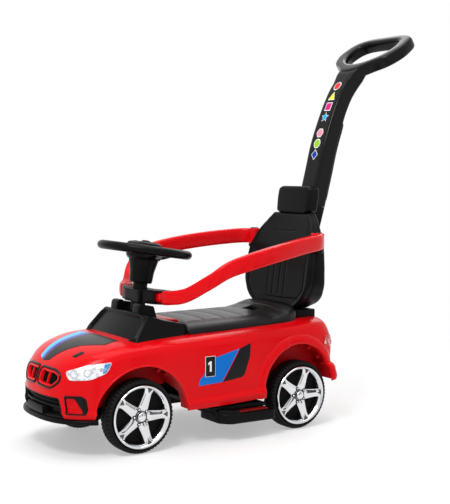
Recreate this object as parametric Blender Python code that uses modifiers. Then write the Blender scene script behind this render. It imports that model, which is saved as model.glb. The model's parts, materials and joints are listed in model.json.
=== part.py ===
"""Foot-to-floor ride-on car with guard rails and a push handle, as separate working pieces.

Lengths are in metres. Places are measured from the point on the ground under the middle of
the front axle: X runs to the car's left, Y to its rear, Z up. One empty carries everything
and sets the origin under the middle of the whole car.
"""

import math
from dataclasses import dataclass

import bmesh
import bpy
import numpy as np
from mathutils import Matrix, Vector

# Fits
GAP = 0.0003                 # between pieces that seat on each other
RUNNING = 0.0004             # radial room round a pin or a shaft
WALL = 0.003                 # moulded walls

# Wheels
TYRE_RADIUS = 0.0725
TYRE_HALF_WIDTH = 0.0178
TREAD_LUGS = 14
LUG_DEPTH = 0.0022
BEAD_RADIUS = 0.058
RIM_RADIUS = 0.0621
WHEEL_X = 0.1225             # middle of a tyre
FACE_OUT = 0.0223            # rim face beyond the middle of the tyre
HUB_RADIUS = 0.011
AXLE_RADIUS = 0.004
SPOKES = 5
WHEELBASE = 0.387
TREAD_COLUMNS = 2 * TREAD_LUGS
AXLE_HEIGHT = TYRE_RADIUS * math.cos(math.pi / TREAD_COLUMNS)

# Body shell
NOSE_ROUND = 2.6             # exponent of the nose outline, 2 is an ellipse
TAIL_ROUND = 8.0
TAIL_CENTRE = 0.20
TAIL_FLARE_FROM = WHEELBASE + 0.043
TAIL_FLARE_LENGTH = 0.04
STATIONS = (-0.16, -0.10, -0.03, 0.06, 0.20, 0.35, 0.44, 0.50)
FRONT_ARCH_Y, FRONT_ARCH_Z, FRONT_ARCH_R = 0.005, 0.071, 0.0985
REAR_ARCH_Y, REAR_ARCH_Z, REAR_ARCH_R = WHEELBASE - 0.004, 0.092, 0.091
FRONT_WELL_X = 0.070         # inner wall of a front wheel well
REAR_WELL_X = 0.093
ARCH_LIP = 0.0070            # width of the rear arch's raised lip
ARCH_LIP_OUT = 0.0040

# Cowl and seat
COWL_REAR = 0.1255
SEAT_FRONT = 0.1275
SEAT_REAR = 0.411
SEAT_HALF_WIDTH = 0.1045
SEAT_TOP_HALF_WIDTH = SEAT_HALF_WIDTH - 0.0165
SEAT_HINGE_Y, SEAT_HINGE_Z = 0.134, 0.2315
HINGE_PIN_RADIUS = 0.003
HINGE_EAR_X = 0.050
TUB_HALF_WIDTH = 0.072
TUB_FRONT, TUB_REAR = 0.152, 0.345
TUB_FLOOR = 0.105

# Steering
WHEEL_HUB = (0.0, 0.086, 0.383)
STEER_TILT = math.radians(8.5)
STEER_RIM_RADIUS = 0.087
STEER_TUBE_RADIUS = 0.011
SHAFT_RADIUS = 0.006
SLEEVE_RADIUS = 0.0155
CRANK = 0.024
KNUCKLE_ARM = 0.030
KINGPIN_X = 0.085
LINK_PIN_RADIUS = 0.003
TIE_ROD_BOTTOM, TIE_ROD_TOP = 0.0595, 0.0635

# Guard rails
RAIL_HEIGHT = 0.034
TONGUE_HEIGHT = 0.021        # front end of a rail, in the bracket
TONGUE_X = 0.0805
BRACKET_Z, BRACKET_HEIGHT = 0.2915, 0.0275
RAIL_THICK = 0.021
RAIL_PIN = (0.1158, 0.4486)
RAIL_BOSS_RADIUS = 0.0145
RAIL_BOSS_BOTTOM, RAIL_BOSS_TOP = 0.3800, 0.4150
RAIL_PIN_RADIUS = 0.005
RAIL_PATH = (
    (0.0540, 0.0835, 0.2915), (0.0700, 0.0890, 0.2915), (0.0880, 0.0985, 0.2930), (0.1120, 0.1200, 0.3000),
    (0.1500, 0.1470, 0.3260), (0.1770, 0.1740, 0.3510), (0.1900, 0.2150, 0.3660),
    (0.1900, 0.2600, 0.3760), (0.1800, 0.3150, 0.3850), (0.1640, 0.3700, 0.3920),
    (0.1440, 0.4250, 0.3970), (0.1210, 0.4480, 0.3975),
)

# Backrest: height, half width, front face, rear face
BACKREST = (
    (0.2465, 0.062, 0.4165, 0.4640), (0.2560, 0.084, 0.4170, 0.4700), (0.2720, 0.100, 0.4185, 0.4710),
    (0.3000, 0.114, 0.4220, 0.4670), (0.3400, 0.117, 0.4270, 0.4650), (0.3800, 0.114, 0.4340, 0.4670),
    (0.4100, 0.105, 0.4450, 0.4740), (0.4350, 0.087, 0.4550, 0.4810), (0.4550, 0.062, 0.4630, 0.4880),
)
FRONT_PANEL_THICK = 0.012
HEADREST_BOTTOM = 0.4553
PLINTH_TOP = 0.2460

# Push handle
HANDLE_LEAN = math.radians(13.5)
HANDLE_WIDTH, HANDLE_DEPTH = 0.045, 0.033
HANDLE_BOTTOM = 0.4716
SOCKET_TOP = 0.5200
HANDLE_WALL = 0.0022
STUB_PLAY = 0.0005
# Middle of the stem: place behind the axle and height
HANDLE_PATH = (
    (0.5242, 0.4716), (0.5347, 0.5155), (0.5441, 0.5520), (0.5550, 0.5970), (0.5685, 0.6400),
    (0.5850, 0.6840), (0.6045, 0.7220), (0.6230, 0.7470), (0.6419, 0.7662),
)
LOOP_TILT = math.radians(41.0)
LOOP_THICK = 0.024
LOOP_LENGTH = 0.152
LOOP_START = (0.6255, 0.7680)  # place and height where the loop's middle plane starts

# Footrests
FOOTREST_OUT = 0.1630
FOOTREST_IN = 0.0700
FOOTREST_FRONT, FOOTREST_REAR = 0.172, WHEELBASE - 0.087
FOOTREST_BOTTOM, FOOTREST_TOP = 0.0360, 0.0560

TREAD_OUTLINE = (
    (0.1165, FOOTREST_FRONT + 0.0150), (0.1360, FOOTREST_FRONT + 0.0150), (0.1485, FOOTREST_FRONT + 0.0265),
    (0.1485, FOOTREST_REAR - 0.0070), (0.1165, FOOTREST_REAR - 0.0070),
)

# Chassis
TRAY_FLOOR = 0.0655
TRAY_THICK = 0.003
BRIDGE_UNDER = 0.0880

FRONT_REACH = 0.1640         # front lip, before the axle
REAR_REACH = LOOP_START[0] + LOOP_LENGTH * math.cos(LOOP_TILT) + LOOP_THICK / 2 * math.sin(LOOP_TILT)
ORIGIN_Y = (REAR_REACH - FRONT_REACH) / 2

SIDES = {"left": 1, "right": -1}


@dataclass(frozen=True)
class BodyRow:
    """One line round the body: its plan outline, with the rear end behind the rear axle, and its height at each station."""

    half_width: float
    front: float
    rear: float
    lift: float
    tail: float
    heights: tuple


BODY_ROWS = (
    BodyRow(0.1435, 0.1570, 0.1040, -1.0, 0.0070, (0.0755, 0.0755, 0.0740, 0.0720, 0.0735, 0.0800, 0.0950, 0.0930)),
    BodyRow(0.1475, 0.1585, 0.1050, 0.0, 0.0070, (0.0850, 0.0850, 0.0850, 0.0840, 0.0860, 0.0920, 0.1050, 0.1060)),
    BodyRow(0.1425, 0.1580, 0.1050, 0.0, 0.0060, (0.0940, 0.0940, 0.0950, 0.0950, 0.0960, 0.1050, 0.1260, 0.1270)),
    BodyRow(0.1420, 0.1580, 0.1050, 0.0, 0.0000, (0.1050, 0.1060, 0.1120, 0.1160, 0.1200, 0.1280, 0.1330, 0.1340)),
    BodyRow(0.1424, 0.1550, 0.1080, 0.0, 0.0000, (0.1330, 0.1400, 0.1500, 0.1550, 0.1580, 0.1610, 0.1620, 0.1620)),
    BodyRow(0.1410, 0.1500, 0.1060, 0.2, 0.0000, (0.1510, 0.1640, 0.1800, 0.1860, 0.1900, 0.1920, 0.1900, 0.1870)),
    BodyRow(0.1370, 0.1420, 0.1000, 0.6, 0.0000, (0.1620, 0.1800, 0.1960, 0.2020, 0.2060, 0.2100, 0.2110, 0.2080)),
    BodyRow(0.1270, 0.1300, 0.0920, 0.8, 0.0000, (0.1710, 0.1900, 0.2045, 0.2105, 0.2150, 0.2205, 0.2250, 0.2240)),
    BodyRow(0.1080, 0.1130, 0.0810, 1.0, 0.0000, (0.1800, 0.1970, 0.2095, 0.2140, 0.2185, 0.2235, 0.2290, 0.2310)),
    BodyRow(0.0700, 0.0850, 0.0630, 1.0, 0.0000, (0.1900, 0.2035, 0.2135, 0.2175, 0.2210, 0.2255, 0.2310, 0.2330)),
    BodyRow(0.0000, 0.0600, 0.0430, 1.0, 0.0000, (0.1960, 0.2070, 0.2160, 0.2190, 0.2225, 0.2265, 0.2320, 0.2340)),
)
FRONT_COLUMNS, SIDE_COLUMNS, TAIL_COLUMNS = 9, 5, 7


@dataclass(frozen=True)
class Finish:
    """A moulded or plated surface."""

    colour: tuple
    roughness: float
    metallic: float = 0.0


RED = Finish((0.62, 0.004, 0.010), 0.22)
BLACK = Finish((0.012, 0.012, 0.013), 0.40)
SEAT_BLACK = Finish((0.022, 0.020, 0.020), 0.45)
TYRE_BLACK = Finish((0.010, 0.010, 0.010), 0.70)
CHROME = Finish((0.82, 0.83, 0.85), 0.10, 1.0)
LAMP = Finish((0.80, 0.82, 0.86), 0.12, 0.6)
TAIL_LAMP = Finish((0.45, 0.02, 0.02), 0.15)
STEEL = Finish((0.55, 0.55, 0.56), 0.30, 1.0)


class Workshop:
    """Holds the collections and the datum, and makes the objects."""

    def __init__(self):
        for old in list(bpy.data.objects):
            bpy.data.objects.remove(old, do_unlink=True)
        scene = bpy.context.scene.collection
        self.parts = bpy.data.collections.new("ride_on_car")
        self.cutters = bpy.data.collections.new("cutters")
        scene.children.link(self.parts)
        scene.children.link(self.cutters)
        self.materials = {}
        self.datum = self.empty("front_axle_datum", None, (0.0, -ORIGIN_Y, 0.0))

    def empty(self, name, parent, place, turn=(0.0, 0.0, 0.0)):
        """An empty on a joint's axis."""
        made = bpy.data.objects.new(name, None)
        made.empty_display_size = 0.02
        made.parent = parent
        made.location = place
        made.rotation_euler = turn
        self.parts.objects.link(made)
        return made

    def material(self, name, finish):
        """One material for each object, in its finish."""
        made = bpy.data.materials.new(name)
        made.use_nodes = True
        shader = made.node_tree.nodes["Principled BSDF"]
        shader.inputs["Base Color"].default_value = (*finish.colour, 1.0)
        shader.inputs["Roughness"].default_value = finish.roughness
        shader.inputs["Metallic"].default_value = finish.metallic
        made.diffuse_color = (*finish.colour, 1.0)
        return made

    def piece(self, name, mesh, finish, joint=None, smooth=35.0):
        """A finished part. With a joint, its origin moves to the joint's empty."""
        made = bpy.data.objects.new(name, mesh)
        mesh.name = name
        mesh.materials.clear()
        mesh.materials.append(self.material(name, finish))
        mesh.shade_smooth()
        mesh.set_sharp_from_angle(angle=math.radians(smooth))
        made.parent = joint or self.datum
        if joint is not None:
            mesh.transform(frame_of(joint).inverted())
        self.parts.objects.link(made)
        return made

    def cutter(self, name, mesh):
        """A helper solid that Booleans use and the build leaves out."""
        made = bpy.data.objects.new(name, mesh)
        made.parent = self.datum
        made.hide_render = True
        made.display_type = "WIRE"
        self.cutters.objects.link(made)
        return made


def frame_of(joint):
    """A joint empty's place and turn, seen from the datum."""
    made = Matrix.LocRotScale(joint.location, joint.rotation_euler, None)
    parent = joint.parent
    while parent is not None and parent.parent is not None:
        made = Matrix.LocRotScale(parent.location, parent.rotation_euler, None) @ made
        parent = parent.parent
    return made


def join(target, other, operation="DIFFERENCE"):
    """Adds a Boolean to target. The cutter is a hidden object."""
    boolean = target.modifiers.new(other.name, "BOOLEAN")
    boolean.operation = operation
    boolean.object = other
    boolean.solver = "EXACT"
    return target


def finish_mesh(work):
    """Closes a bmesh: doubles merged, faces turned outwards."""
    bmesh.ops.remove_doubles(work, verts=work.verts, dist=1e-6)
    bmesh.ops.recalc_face_normals(work, faces=work.faces)
    mesh = bpy.data.meshes.new("mesh")
    work.to_mesh(mesh)
    work.free()
    return mesh


def box(low, high, bevel=0.0, segments=2):
    """A box between two corners, its edges rounded."""
    low, high = Vector(low), Vector(high)
    work = bmesh.new()
    bmesh.ops.create_cube(work, size=1.0)
    for vert in work.verts:
        vert.co = Vector((low[i] + (vert.co[i] + 0.5) * (high[i] - low[i]) for i in range(3)))
    if bevel:
        bmesh.ops.bevel(work, geom=work.edges[:], offset=bevel, segments=segments, affect="EDGES", profile=0.5)
    return finish_mesh(work)


def rod(start, end, radius, end_radius=None, sides=16):
    """A round bar or a cone between two points."""
    start, end = Vector(start), Vector(end)
    work = bmesh.new()
    bmesh.ops.create_cone(
        work, cap_ends=True, segments=sides, radius1=radius,
        radius2=radius if end_radius is None else end_radius, depth=(end - start).length,
    )
    turn = (end - start).to_track_quat("Z", "Y").to_matrix().to_4x4()
    bmesh.ops.transform(work, matrix=Matrix.Translation((start + end) / 2) @ turn, verts=work.verts)
    return finish_mesh(work)


def turned(profile, steps, axis=None):
    """A closed profile of (radius, height) turned round Z, then set on axis (a 4x4 matrix)."""
    work = bmesh.new()
    verts = [work.verts.new((radius, 0.0, height)) for radius, height in profile]
    for one, two in zip(verts, verts[1:] + verts[:1]):
        work.edges.new((one, two))
    bmesh.ops.spin(
        work, geom=work.verts[:] + work.edges[:], cent=(0, 0, 0), axis=(0, 0, 1),
        angle=math.tau, steps=steps, use_merge=True,
    )
    bmesh.ops.dissolve_degenerate(work, dist=1e-7, edges=work.edges[:])
    on_axis = [edge for edge in work.edges if not edge.link_faces]
    bmesh.ops.delete(work, geom=on_axis, context="EDGES")
    if axis is not None:
        bmesh.ops.transform(work, matrix=axis, verts=work.verts)
    return finish_mesh(work)


def loft(rings, closed=False):
    """A skin through rings of equal point count, with flat ends or closed on itself."""
    work = bmesh.new()
    rows = [[work.verts.new(point) for point in ring] for ring in rings]
    pairs = list(zip(rows, rows[1:])) + ([(rows[-1], rows[0])] if closed else [])
    for lower, upper in pairs:
        for i in range(len(lower)):
            j = (i + 1) % len(lower)
            work.faces.new((lower[i], lower[j], upper[j], upper[i]))
    if not closed:
        work.faces.new(rows[0])
        work.faces.new(rows[-1])
    return finish_mesh(work)


def plate(outlines, thick, place, u_axis, v_axis):
    """Flat outlines as a filled 2D curve of a thickness, set at place along two axes."""
    curve = bpy.data.curves.new("outline", "CURVE")
    curve.dimensions = "2D"
    curve.fill_mode = "BOTH"
    curve.extrude = thick / 2
    for outline in outlines:
        spline = curve.splines.new("POLY")
        spline.points.add(len(outline) - 1)
        for point, (u, v) in zip(spline.points, outline):
            point.co = (u, v, 0.0, 1.0)
        spline.use_cyclic_u = True
    holder = bpy.data.objects.new("outline", curve)
    bpy.context.scene.collection.objects.link(holder)
    graph = bpy.context.evaluated_depsgraph_get()
    graph.update()
    mesh = bpy.data.meshes.new_from_object(holder.evaluated_get(graph))
    bpy.data.objects.remove(holder)
    bpy.data.curves.remove(curve)
    u_axis, v_axis = Vector(u_axis).normalized(), Vector(v_axis).normalized()
    across = u_axis.cross(v_axis)
    frame = Matrix((u_axis, v_axis, across)).transposed().to_4x4()
    work = bmesh.new()
    work.from_mesh(mesh)
    bpy.data.meshes.remove(mesh)
    bmesh.ops.transform(work, matrix=Matrix.Translation(place) @ frame, verts=work.verts)
    return finish_mesh(work)


def rounded(corners, radius, steps=3):
    """A polygon with each corner replaced by an arc-like curve of about this radius."""
    made = []
    count = len(corners)
    for i in range(count):
        before, here, after = (np.array(corners[(i + k) % count], float) for k in (-1, 0, 1))
        back, ahead = before - here, after - here
        reach = min(radius, 0.45 * np.linalg.norm(back), 0.45 * np.linalg.norm(ahead))
        start = here + back / np.linalg.norm(back) * reach
        end = here + ahead / np.linalg.norm(ahead) * reach
        for t in np.linspace(0.0, 1.0, steps + 1):
            made.append(tuple((1 - t) ** 2 * start + 2 * t * (1 - t) * here + t ** 2 * end))
    return made


def inset(corners, by):
    """A polygon with every edge moved in by a distance."""
    points = np.array(corners, float)
    after, before = np.roll(points, -1, axis=0), np.roll(points, 1, axis=0)
    area = np.sum(points[:, 0] * after[:, 1] - after[:, 0] * points[:, 1])
    turn = 1.0 if area > 0 else -1.0
    made = []
    for last, here, ahead in zip(before, points, after):
        one = (here - last) / np.linalg.norm(here - last)
        two = (ahead - here) / np.linalg.norm(ahead - here)
        normal_one = turn * np.array([-one[1], one[0]])
        normal_two = turn * np.array([-two[1], two[0]])
        mitre = (normal_one + normal_two) / (1.0 + normal_one @ normal_two)
        made.append(tuple(here + by * mitre))
    return made


def rectangle(half_u, half_v, radius, steps=2):
    """A rounded rectangle about the origin."""
    corners = [(-half_u, -half_v), (half_u, -half_v), (half_u, half_v), (-half_u, half_v)]
    return rounded(corners, radius, steps)


def smooth_path(points, per_span):
    """Points along a Catmull-Rom curve through the given ones."""
    points = np.array(points, float)
    padded = np.vstack([2 * points[0] - points[1], points, 2 * points[-1] - points[-2]])
    made = []
    for i in range(len(points) - 1):
        a, b, c, d = padded[i:i + 4]
        for t in np.arange(per_span) / per_span:
            made.append(0.5 * (2 * b + (c - a) * t + (2 * a - 5 * b + 4 * c - d) * t ** 2
                               + (3 * b - a - 3 * c + d) * t ** 3))
    return np.array(made + [points[-1]])


def mirrored(mesh):
    """A copy of a mesh for the other side of the car."""
    work = bmesh.new()
    work.from_mesh(mesh)
    bmesh.ops.transform(work, matrix=Matrix.Diagonal((-1, 1, 1, 1)), verts=work.verts)
    return finish_mesh(work)


def for_side(mesh, side):
    """The mesh as made for the left side, or its mirror image."""
    return mesh if side > 0 else mirrored(mesh)


def merged(work, target, meshes):
    """Unites more meshes into target with Booleans."""
    for i, mesh in enumerate(meshes):
        join(target, work.cutter(f"{target.name}_join_{i}", mesh), "UNION")
    return target


# Body shell

def perimeter(row, offset):
    """Plan points of a row on the left side, from the nose round to the middle of the tail."""
    half, front, rear = row.half_width, row.front, WHEELBASE + row.rear
    if half > 0.0:
        half, front, rear = half + offset, front + offset, rear + offset
    nose = np.linspace(0.0, math.pi / 2, FRONT_COLUMNS)
    x = list(half * np.sin(nose) ** (2 / NOSE_ROUND))
    y = list(-front * np.cos(nose) ** (2 / NOSE_ROUND))
    side = np.linspace(0.0, TAIL_CENTRE + 0.12, SIDE_COLUMNS + 1)[1:]
    reach = rear - TAIL_CENTRE
    share = np.clip((side - TAIL_CENTRE) / reach, 0.0, 1.0)
    x += list(half * (1 - share ** TAIL_ROUND) ** (1 / TAIL_ROUND))
    y += list(side)
    first = math.acos(min(1.0, share[-1] ** (TAIL_ROUND / 2)))
    turn = np.linspace(first, 0.0, TAIL_COLUMNS + 1)[1:]
    x += list(half * np.sin(turn) ** (2 / TAIL_ROUND))
    y += list(TAIL_CENTRE + reach * np.cos(turn) ** (2 / TAIL_ROUND))
    x, y = np.array(x), np.array(y)
    flare = np.clip((y - TAIL_FLARE_FROM) / TAIL_FLARE_LENGTH, 0.0, 1.0) * row.tail
    if half > 0.0:
        x = x + flare * x / half
        y = y + flare * np.clip(1 - x / half, 0.0, 1.0) ** 0.25
    x[0] = x[-1] = 0.0
    return x, y


def row_heights(row, y, offset):
    """Height of a row at each place along the car."""
    return np.interp(y, STATIONS, row.heights) + row.lift * offset


def body_solid(offset=0.0, drop=0.0):
    """The left half of the body's outer form as a closed solid, grown by offset.

    Rows run from the hem up over the shoulder to the middle line, and a strip closes the
    underside. With drop, the underside goes lower, so that the solid can cut a hollow.
    """
    work = bmesh.new()
    rows = []
    hem = BODY_ROWS[0]
    x, y = perimeter(hem, offset)
    z = row_heights(hem, y, offset) - drop
    rows.append(np.stack([np.zeros_like(x), y, z], axis=1))
    if drop:
        rows.append(np.stack([x, y, z], axis=1))
    for row in BODY_ROWS:
        x, y = perimeter(row, offset)
        rows.append(np.stack([x, y, row_heights(row, y, offset if row.lift > 0 else 0.0)], axis=1))
    if not drop:
        rows[0][:, 2] = rows[1][:, 2]
    grid = [[work.verts.new(point) for point in row] for row in rows]
    for lower, upper in zip(grid, grid[1:]):
        for i in range(len(lower) - 1):
            corners = (lower[i], lower[i + 1], upper[i + 1], upper[i])
            work.faces.new(corners)
    copied = bmesh.ops.duplicate(work, geom=work.verts[:] + work.edges[:] + work.faces[:])
    twins = [item for item in copied["geom"] if isinstance(item, bmesh.types.BMVert)]
    bmesh.ops.scale(work, vec=(-1, 1, 1), verts=twins)
    bmesh.ops.remove_doubles(work, verts=work.verts, dist=1e-6)
    bmesh.ops.dissolve_degenerate(work, dist=1e-7, edges=work.edges[:])
    return finish_mesh(work)


def deck_cut(work, offset=0.0006):
    """A cutter that gives a piece the body's own curve on its underside."""
    return work.cutter(f"deck_{offset * 1000:.1f}", body_solid(offset))


LAMP_PLACE = (0.115, -0.098, 0.164)
LAMP_ALONG = (0.538, 0.843, 0.0)
LAMP_OUTLINE = ((-0.048, -0.002), (-0.040, -0.0165), (0.004, -0.0135), (0.032, -0.004), (0.0415, 0.0155), (-0.001, 0.0120))
TAIL_LAMP_PLACE = (0.118, WHEELBASE + 0.081, 0.180)
TAIL_LAMP_ALONG = (-0.55, 0.83, 0.0)
TAIL_LAMP_OUTLINE = ((-0.024, -0.010), (0.024, -0.009), (0.022, 0.013), (-0.018, 0.013))
GRILLE_OUTLINE = ((0.0030, 0.1300), (0.0560, 0.1275), (0.0760, 0.1440), (0.0730, 0.1590), (0.0560, 0.1660), (0.0030, 0.1670))
VENT_OUTLINE = ((0.0870, 0.1190), (0.0930, 0.0845), (0.1190, 0.0850), (0.1150, 0.1140), (0.1100, 0.1200))
VENT_INSERT = ((0.0895, 0.1150), (0.0950, 0.0870), (0.1140, 0.0870), (0.1030, 0.1150))
INTAKE_OUTLINE = ((-0.0770, 0.1140), (-0.0900, 0.0700), (0.0900, 0.0700), (0.0770, 0.1140))
FORE_AND_AFT = ((1, 0, 0), (0, 0, 1))


def lamp_prism(outline, place, along, depth, grow=0.0):
    """A prism through the body wall, square to it in plan."""
    return plate([rounded(inset(outline, -grow), 0.006, 2)], depth, place, along, (0, 0, 1))


def nose_prism(outline, radius, grow=0.0, centre=-0.13, depth=0.12):
    """A prism along the car's length, through the nose."""
    return plate([rounded(inset(outline, -grow), max(radius + grow, 0.001), 2)], depth, (0, centre, 0), *FORE_AND_AFT)


def body_shell(work):
    """Hollow red shell with wheel wells, arch lips and every opening that another piece fills."""
    shell = work.piece("body_shell", body_solid(), RED)
    lips, wells, grown = [], [], []
    for side in SIDES.values():
        for y, z, radius, inner in (
            (FRONT_ARCH_Y, FRONT_ARCH_Z, FRONT_ARCH_R, FRONT_WELL_X),
            (REAR_ARCH_Y, REAR_ARCH_Z, REAR_ARCH_R, REAR_WELL_X),
        ):
            wells.append(rod((side * inner, y, z), (side * 0.20, y, z), radius, sides=36))
            grown.append(rod((side * (inner - WALL), y, z), (side * 0.21, y, z), radius + WALL, sides=24))
        lips.append(rod(
            (side * 0.1300, REAR_ARCH_Y, REAR_ARCH_Z),
            (side * (0.1420 + ARCH_LIP_OUT), REAR_ARCH_Y, REAR_ARCH_Z),
            REAR_ARCH_R + ARCH_LIP + 0.002, REAR_ARCH_R + ARCH_LIP - 0.002, sides=36,
        ))
    hollow = work.cutter("body_hollow", body_solid(-WALL, drop=0.06))
    for i, mesh in enumerate(grown):
        join(hollow, work.cutter(f"well_grown_{i}", mesh))
    for i, mesh in enumerate(lips):
        lip = work.cutter(f"arch_lip_{i}", mesh)
        below = box((-0.2, REAR_ARCH_Y - 0.15, -0.1), (0.2, REAR_ARCH_Y + 0.15, REAR_ARCH_Z - 0.004))
        join(lip, work.cutter(f"arch_lip_below_{i}", below))
        join(shell, lip, "UNION")
    join(shell, hollow)
    for i, mesh in enumerate(wells):
        join(shell, work.cutter(f"well_{i}", mesh))
    cuts = [
        nose_prism(INTAKE_OUTLINE, 0.006, GAP, depth=0.075),
        rod(steer_point(-0.30), steer_point(0.0), 0.012),
        box((-TUB_HALF_WIDTH - GAP, TUB_FRONT - GAP, 0.15), (TUB_HALF_WIDTH + GAP, TUB_REAR + GAP, 0.30)),
        box((-KINGPIN_X, -0.0150, 0.05), (KINGPIN_X, 0.0150, BRIDGE_UNDER + 0.002)),
        box((-0.1200, 0.0700, 0.05), (0.1200, 0.1250, 0.0950)),
    ]
    for side in SIDES.values():
        cuts.append(for_side(nose_prism(GRILLE_OUTLINE, 0.010, GAP, depth=0.06), side))
        cuts.append(for_side(nose_prism(VENT_OUTLINE, 0.003, GAP, depth=0.09), side))
        cuts.append(for_side(lamp_prism(LAMP_OUTLINE, LAMP_PLACE, LAMP_ALONG, 0.05, GAP), side))
        cuts.append(for_side(lamp_prism(TAIL_LAMP_OUTLINE, TAIL_LAMP_PLACE, TAIL_LAMP_ALONG, 0.05, GAP), side))
    for i, mesh in enumerate(cuts):
        join(shell, work.cutter(f"body_cut_{i}", mesh))
    return shell


def conformal(work, name, prism, finish, front, back):
    """A piece of the prism between two offsets of the body's surface."""
    made = work.piece(name, prism, finish)
    join(made, work.cutter(f"{name}_face", body_solid(front)), "INTERSECT")
    join(made, work.cutter(f"{name}_back", body_solid(back)))
    return made


def nose_fittings(work):
    """Intake with its splitter lip, grilles, corner vents and lamps, each in its opening."""
    intake = conformal(work, "intake_insert", nose_prism(INTAKE_OUTLINE, 0.006, depth=0.075), BLACK, -0.0005, -0.016)
    pocket = work.cutter("intake_pocket", nose_prism(INTAKE_OUTLINE, 0.006, -WALL, depth=0.09))
    join(pocket, work.cutter("intake_pocket_back", body_solid(-0.013)))
    join(intake, pocket)
    sill = box((-0.2, -0.3, 0.0), (0.2, 0.0, 0.0753))
    join(intake, work.cutter("intake_sill", sill))
    lip = body_solid(0.0045)
    lip_piece = work.cutter("splitter_lip", lip)
    join(lip_piece, work.cutter("splitter_band", box((-0.115, -0.3, 0.0640), (0.115, -0.088, 0.0780))), "INTERSECT")
    lip_floor = plate([lip_outline()], 0.0100, (0, 0, 0.0698), (1, 0, 0), (0, 1, 0))
    bars = [
        lip_floor,
        box((-0.0805, -0.1550, 0.0930), (0.0805, -0.1350, 0.0985)),
        box((-0.035, -0.1530, 0.0740), (0.035, -0.1350, 0.0935), 0.0015),
    ]
    merged(work, intake, bars)
    bpy.data.objects.remove(lip_piece)
    for name, side in SIDES.items():
        grille = conformal(
            work, f"grille_{name}", for_side(nose_prism(GRILLE_OUTLINE, 0.010, depth=0.06), side), BLACK, 0.0025, -0.012)
        inner = work.cutter(f"grille_well_{name}", for_side(nose_prism(GRILLE_OUTLINE, 0.010, -0.0035, depth=0.08), side))
        join(inner, work.cutter(f"grille_well_back_{name}", body_solid(-0.009)))
        join(grille, inner)
        ring = conformal(
            work, f"grille_ring_{name}",
            for_side(nose_prism(GRILLE_OUTLINE, 0.010, -0.0035 - GAP, depth=0.06), side), RED, 0.0010, -0.0087)
        core = for_side(nose_prism(GRILLE_OUTLINE, 0.010, -0.0080, depth=0.08), side)
        join(ring, work.cutter(f"grille_core_{name}", core))
        bar = work.cutter(f"grille_bar_{name}", box((side * 0.036 - 0.002, -0.20, 0.1340), (side * 0.036 + 0.002, -0.10, 0.1620)))
        join(bar, work.cutter(f"grille_bar_face_{name}", body_solid(-0.002)), "INTERSECT")
        join(bar, work.cutter(f"grille_bar_back_{name}", body_solid(-0.0075)))
        join(ring, bar, "UNION")

        vent = conformal(
            work, f"corner_vent_{name}", for_side(nose_prism(VENT_OUTLINE, 0.003, depth=0.09), side), BLACK, 0.0015, -0.009)
        seat = work.cutter(f"vent_seat_{name}", for_side(nose_prism(VENT_INSERT, 0.002, GAP, depth=0.10), side))
        join(seat, work.cutter(f"vent_seat_back_{name}", body_solid(-0.006)))
        join(vent, seat)
        conformal(
            work, f"vent_insert_{name}", for_side(nose_prism(VENT_INSERT, 0.002, depth=0.09), side), RED, -0.0005, -0.0057)
        conformal(
            work, f"headlight_{name}", for_side(lamp_prism(LAMP_OUTLINE, LAMP_PLACE, LAMP_ALONG, 0.05), side), LAMP,
            0.0012, -0.0080)
        conformal(
            work, f"tail_light_{name}",
            for_side(lamp_prism(TAIL_LAMP_OUTLINE, TAIL_LAMP_PLACE, TAIL_LAMP_ALONG, 0.05), side), TAIL_LAMP, 0.0015, -0.0080)


def lip_outline():
    """Plan outline of the splitter: the nose outline grown, and a chord behind it."""
    hem = BODY_ROWS[0]
    x, y = perimeter(hem, 0.0070)
    ahead = y < -0.092
    outer = [(u, v) for u, v in zip(x[ahead], y[ahead])]
    left = outer[::-1]
    right = [(-u, v) for u, v in outer[1:]]
    back = [(-0.095, -0.120), (-0.060, -0.135), (0.060, -0.135), (0.095, -0.120)]
    return left + right + back


# Cowl, seat and storage tub

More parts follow.
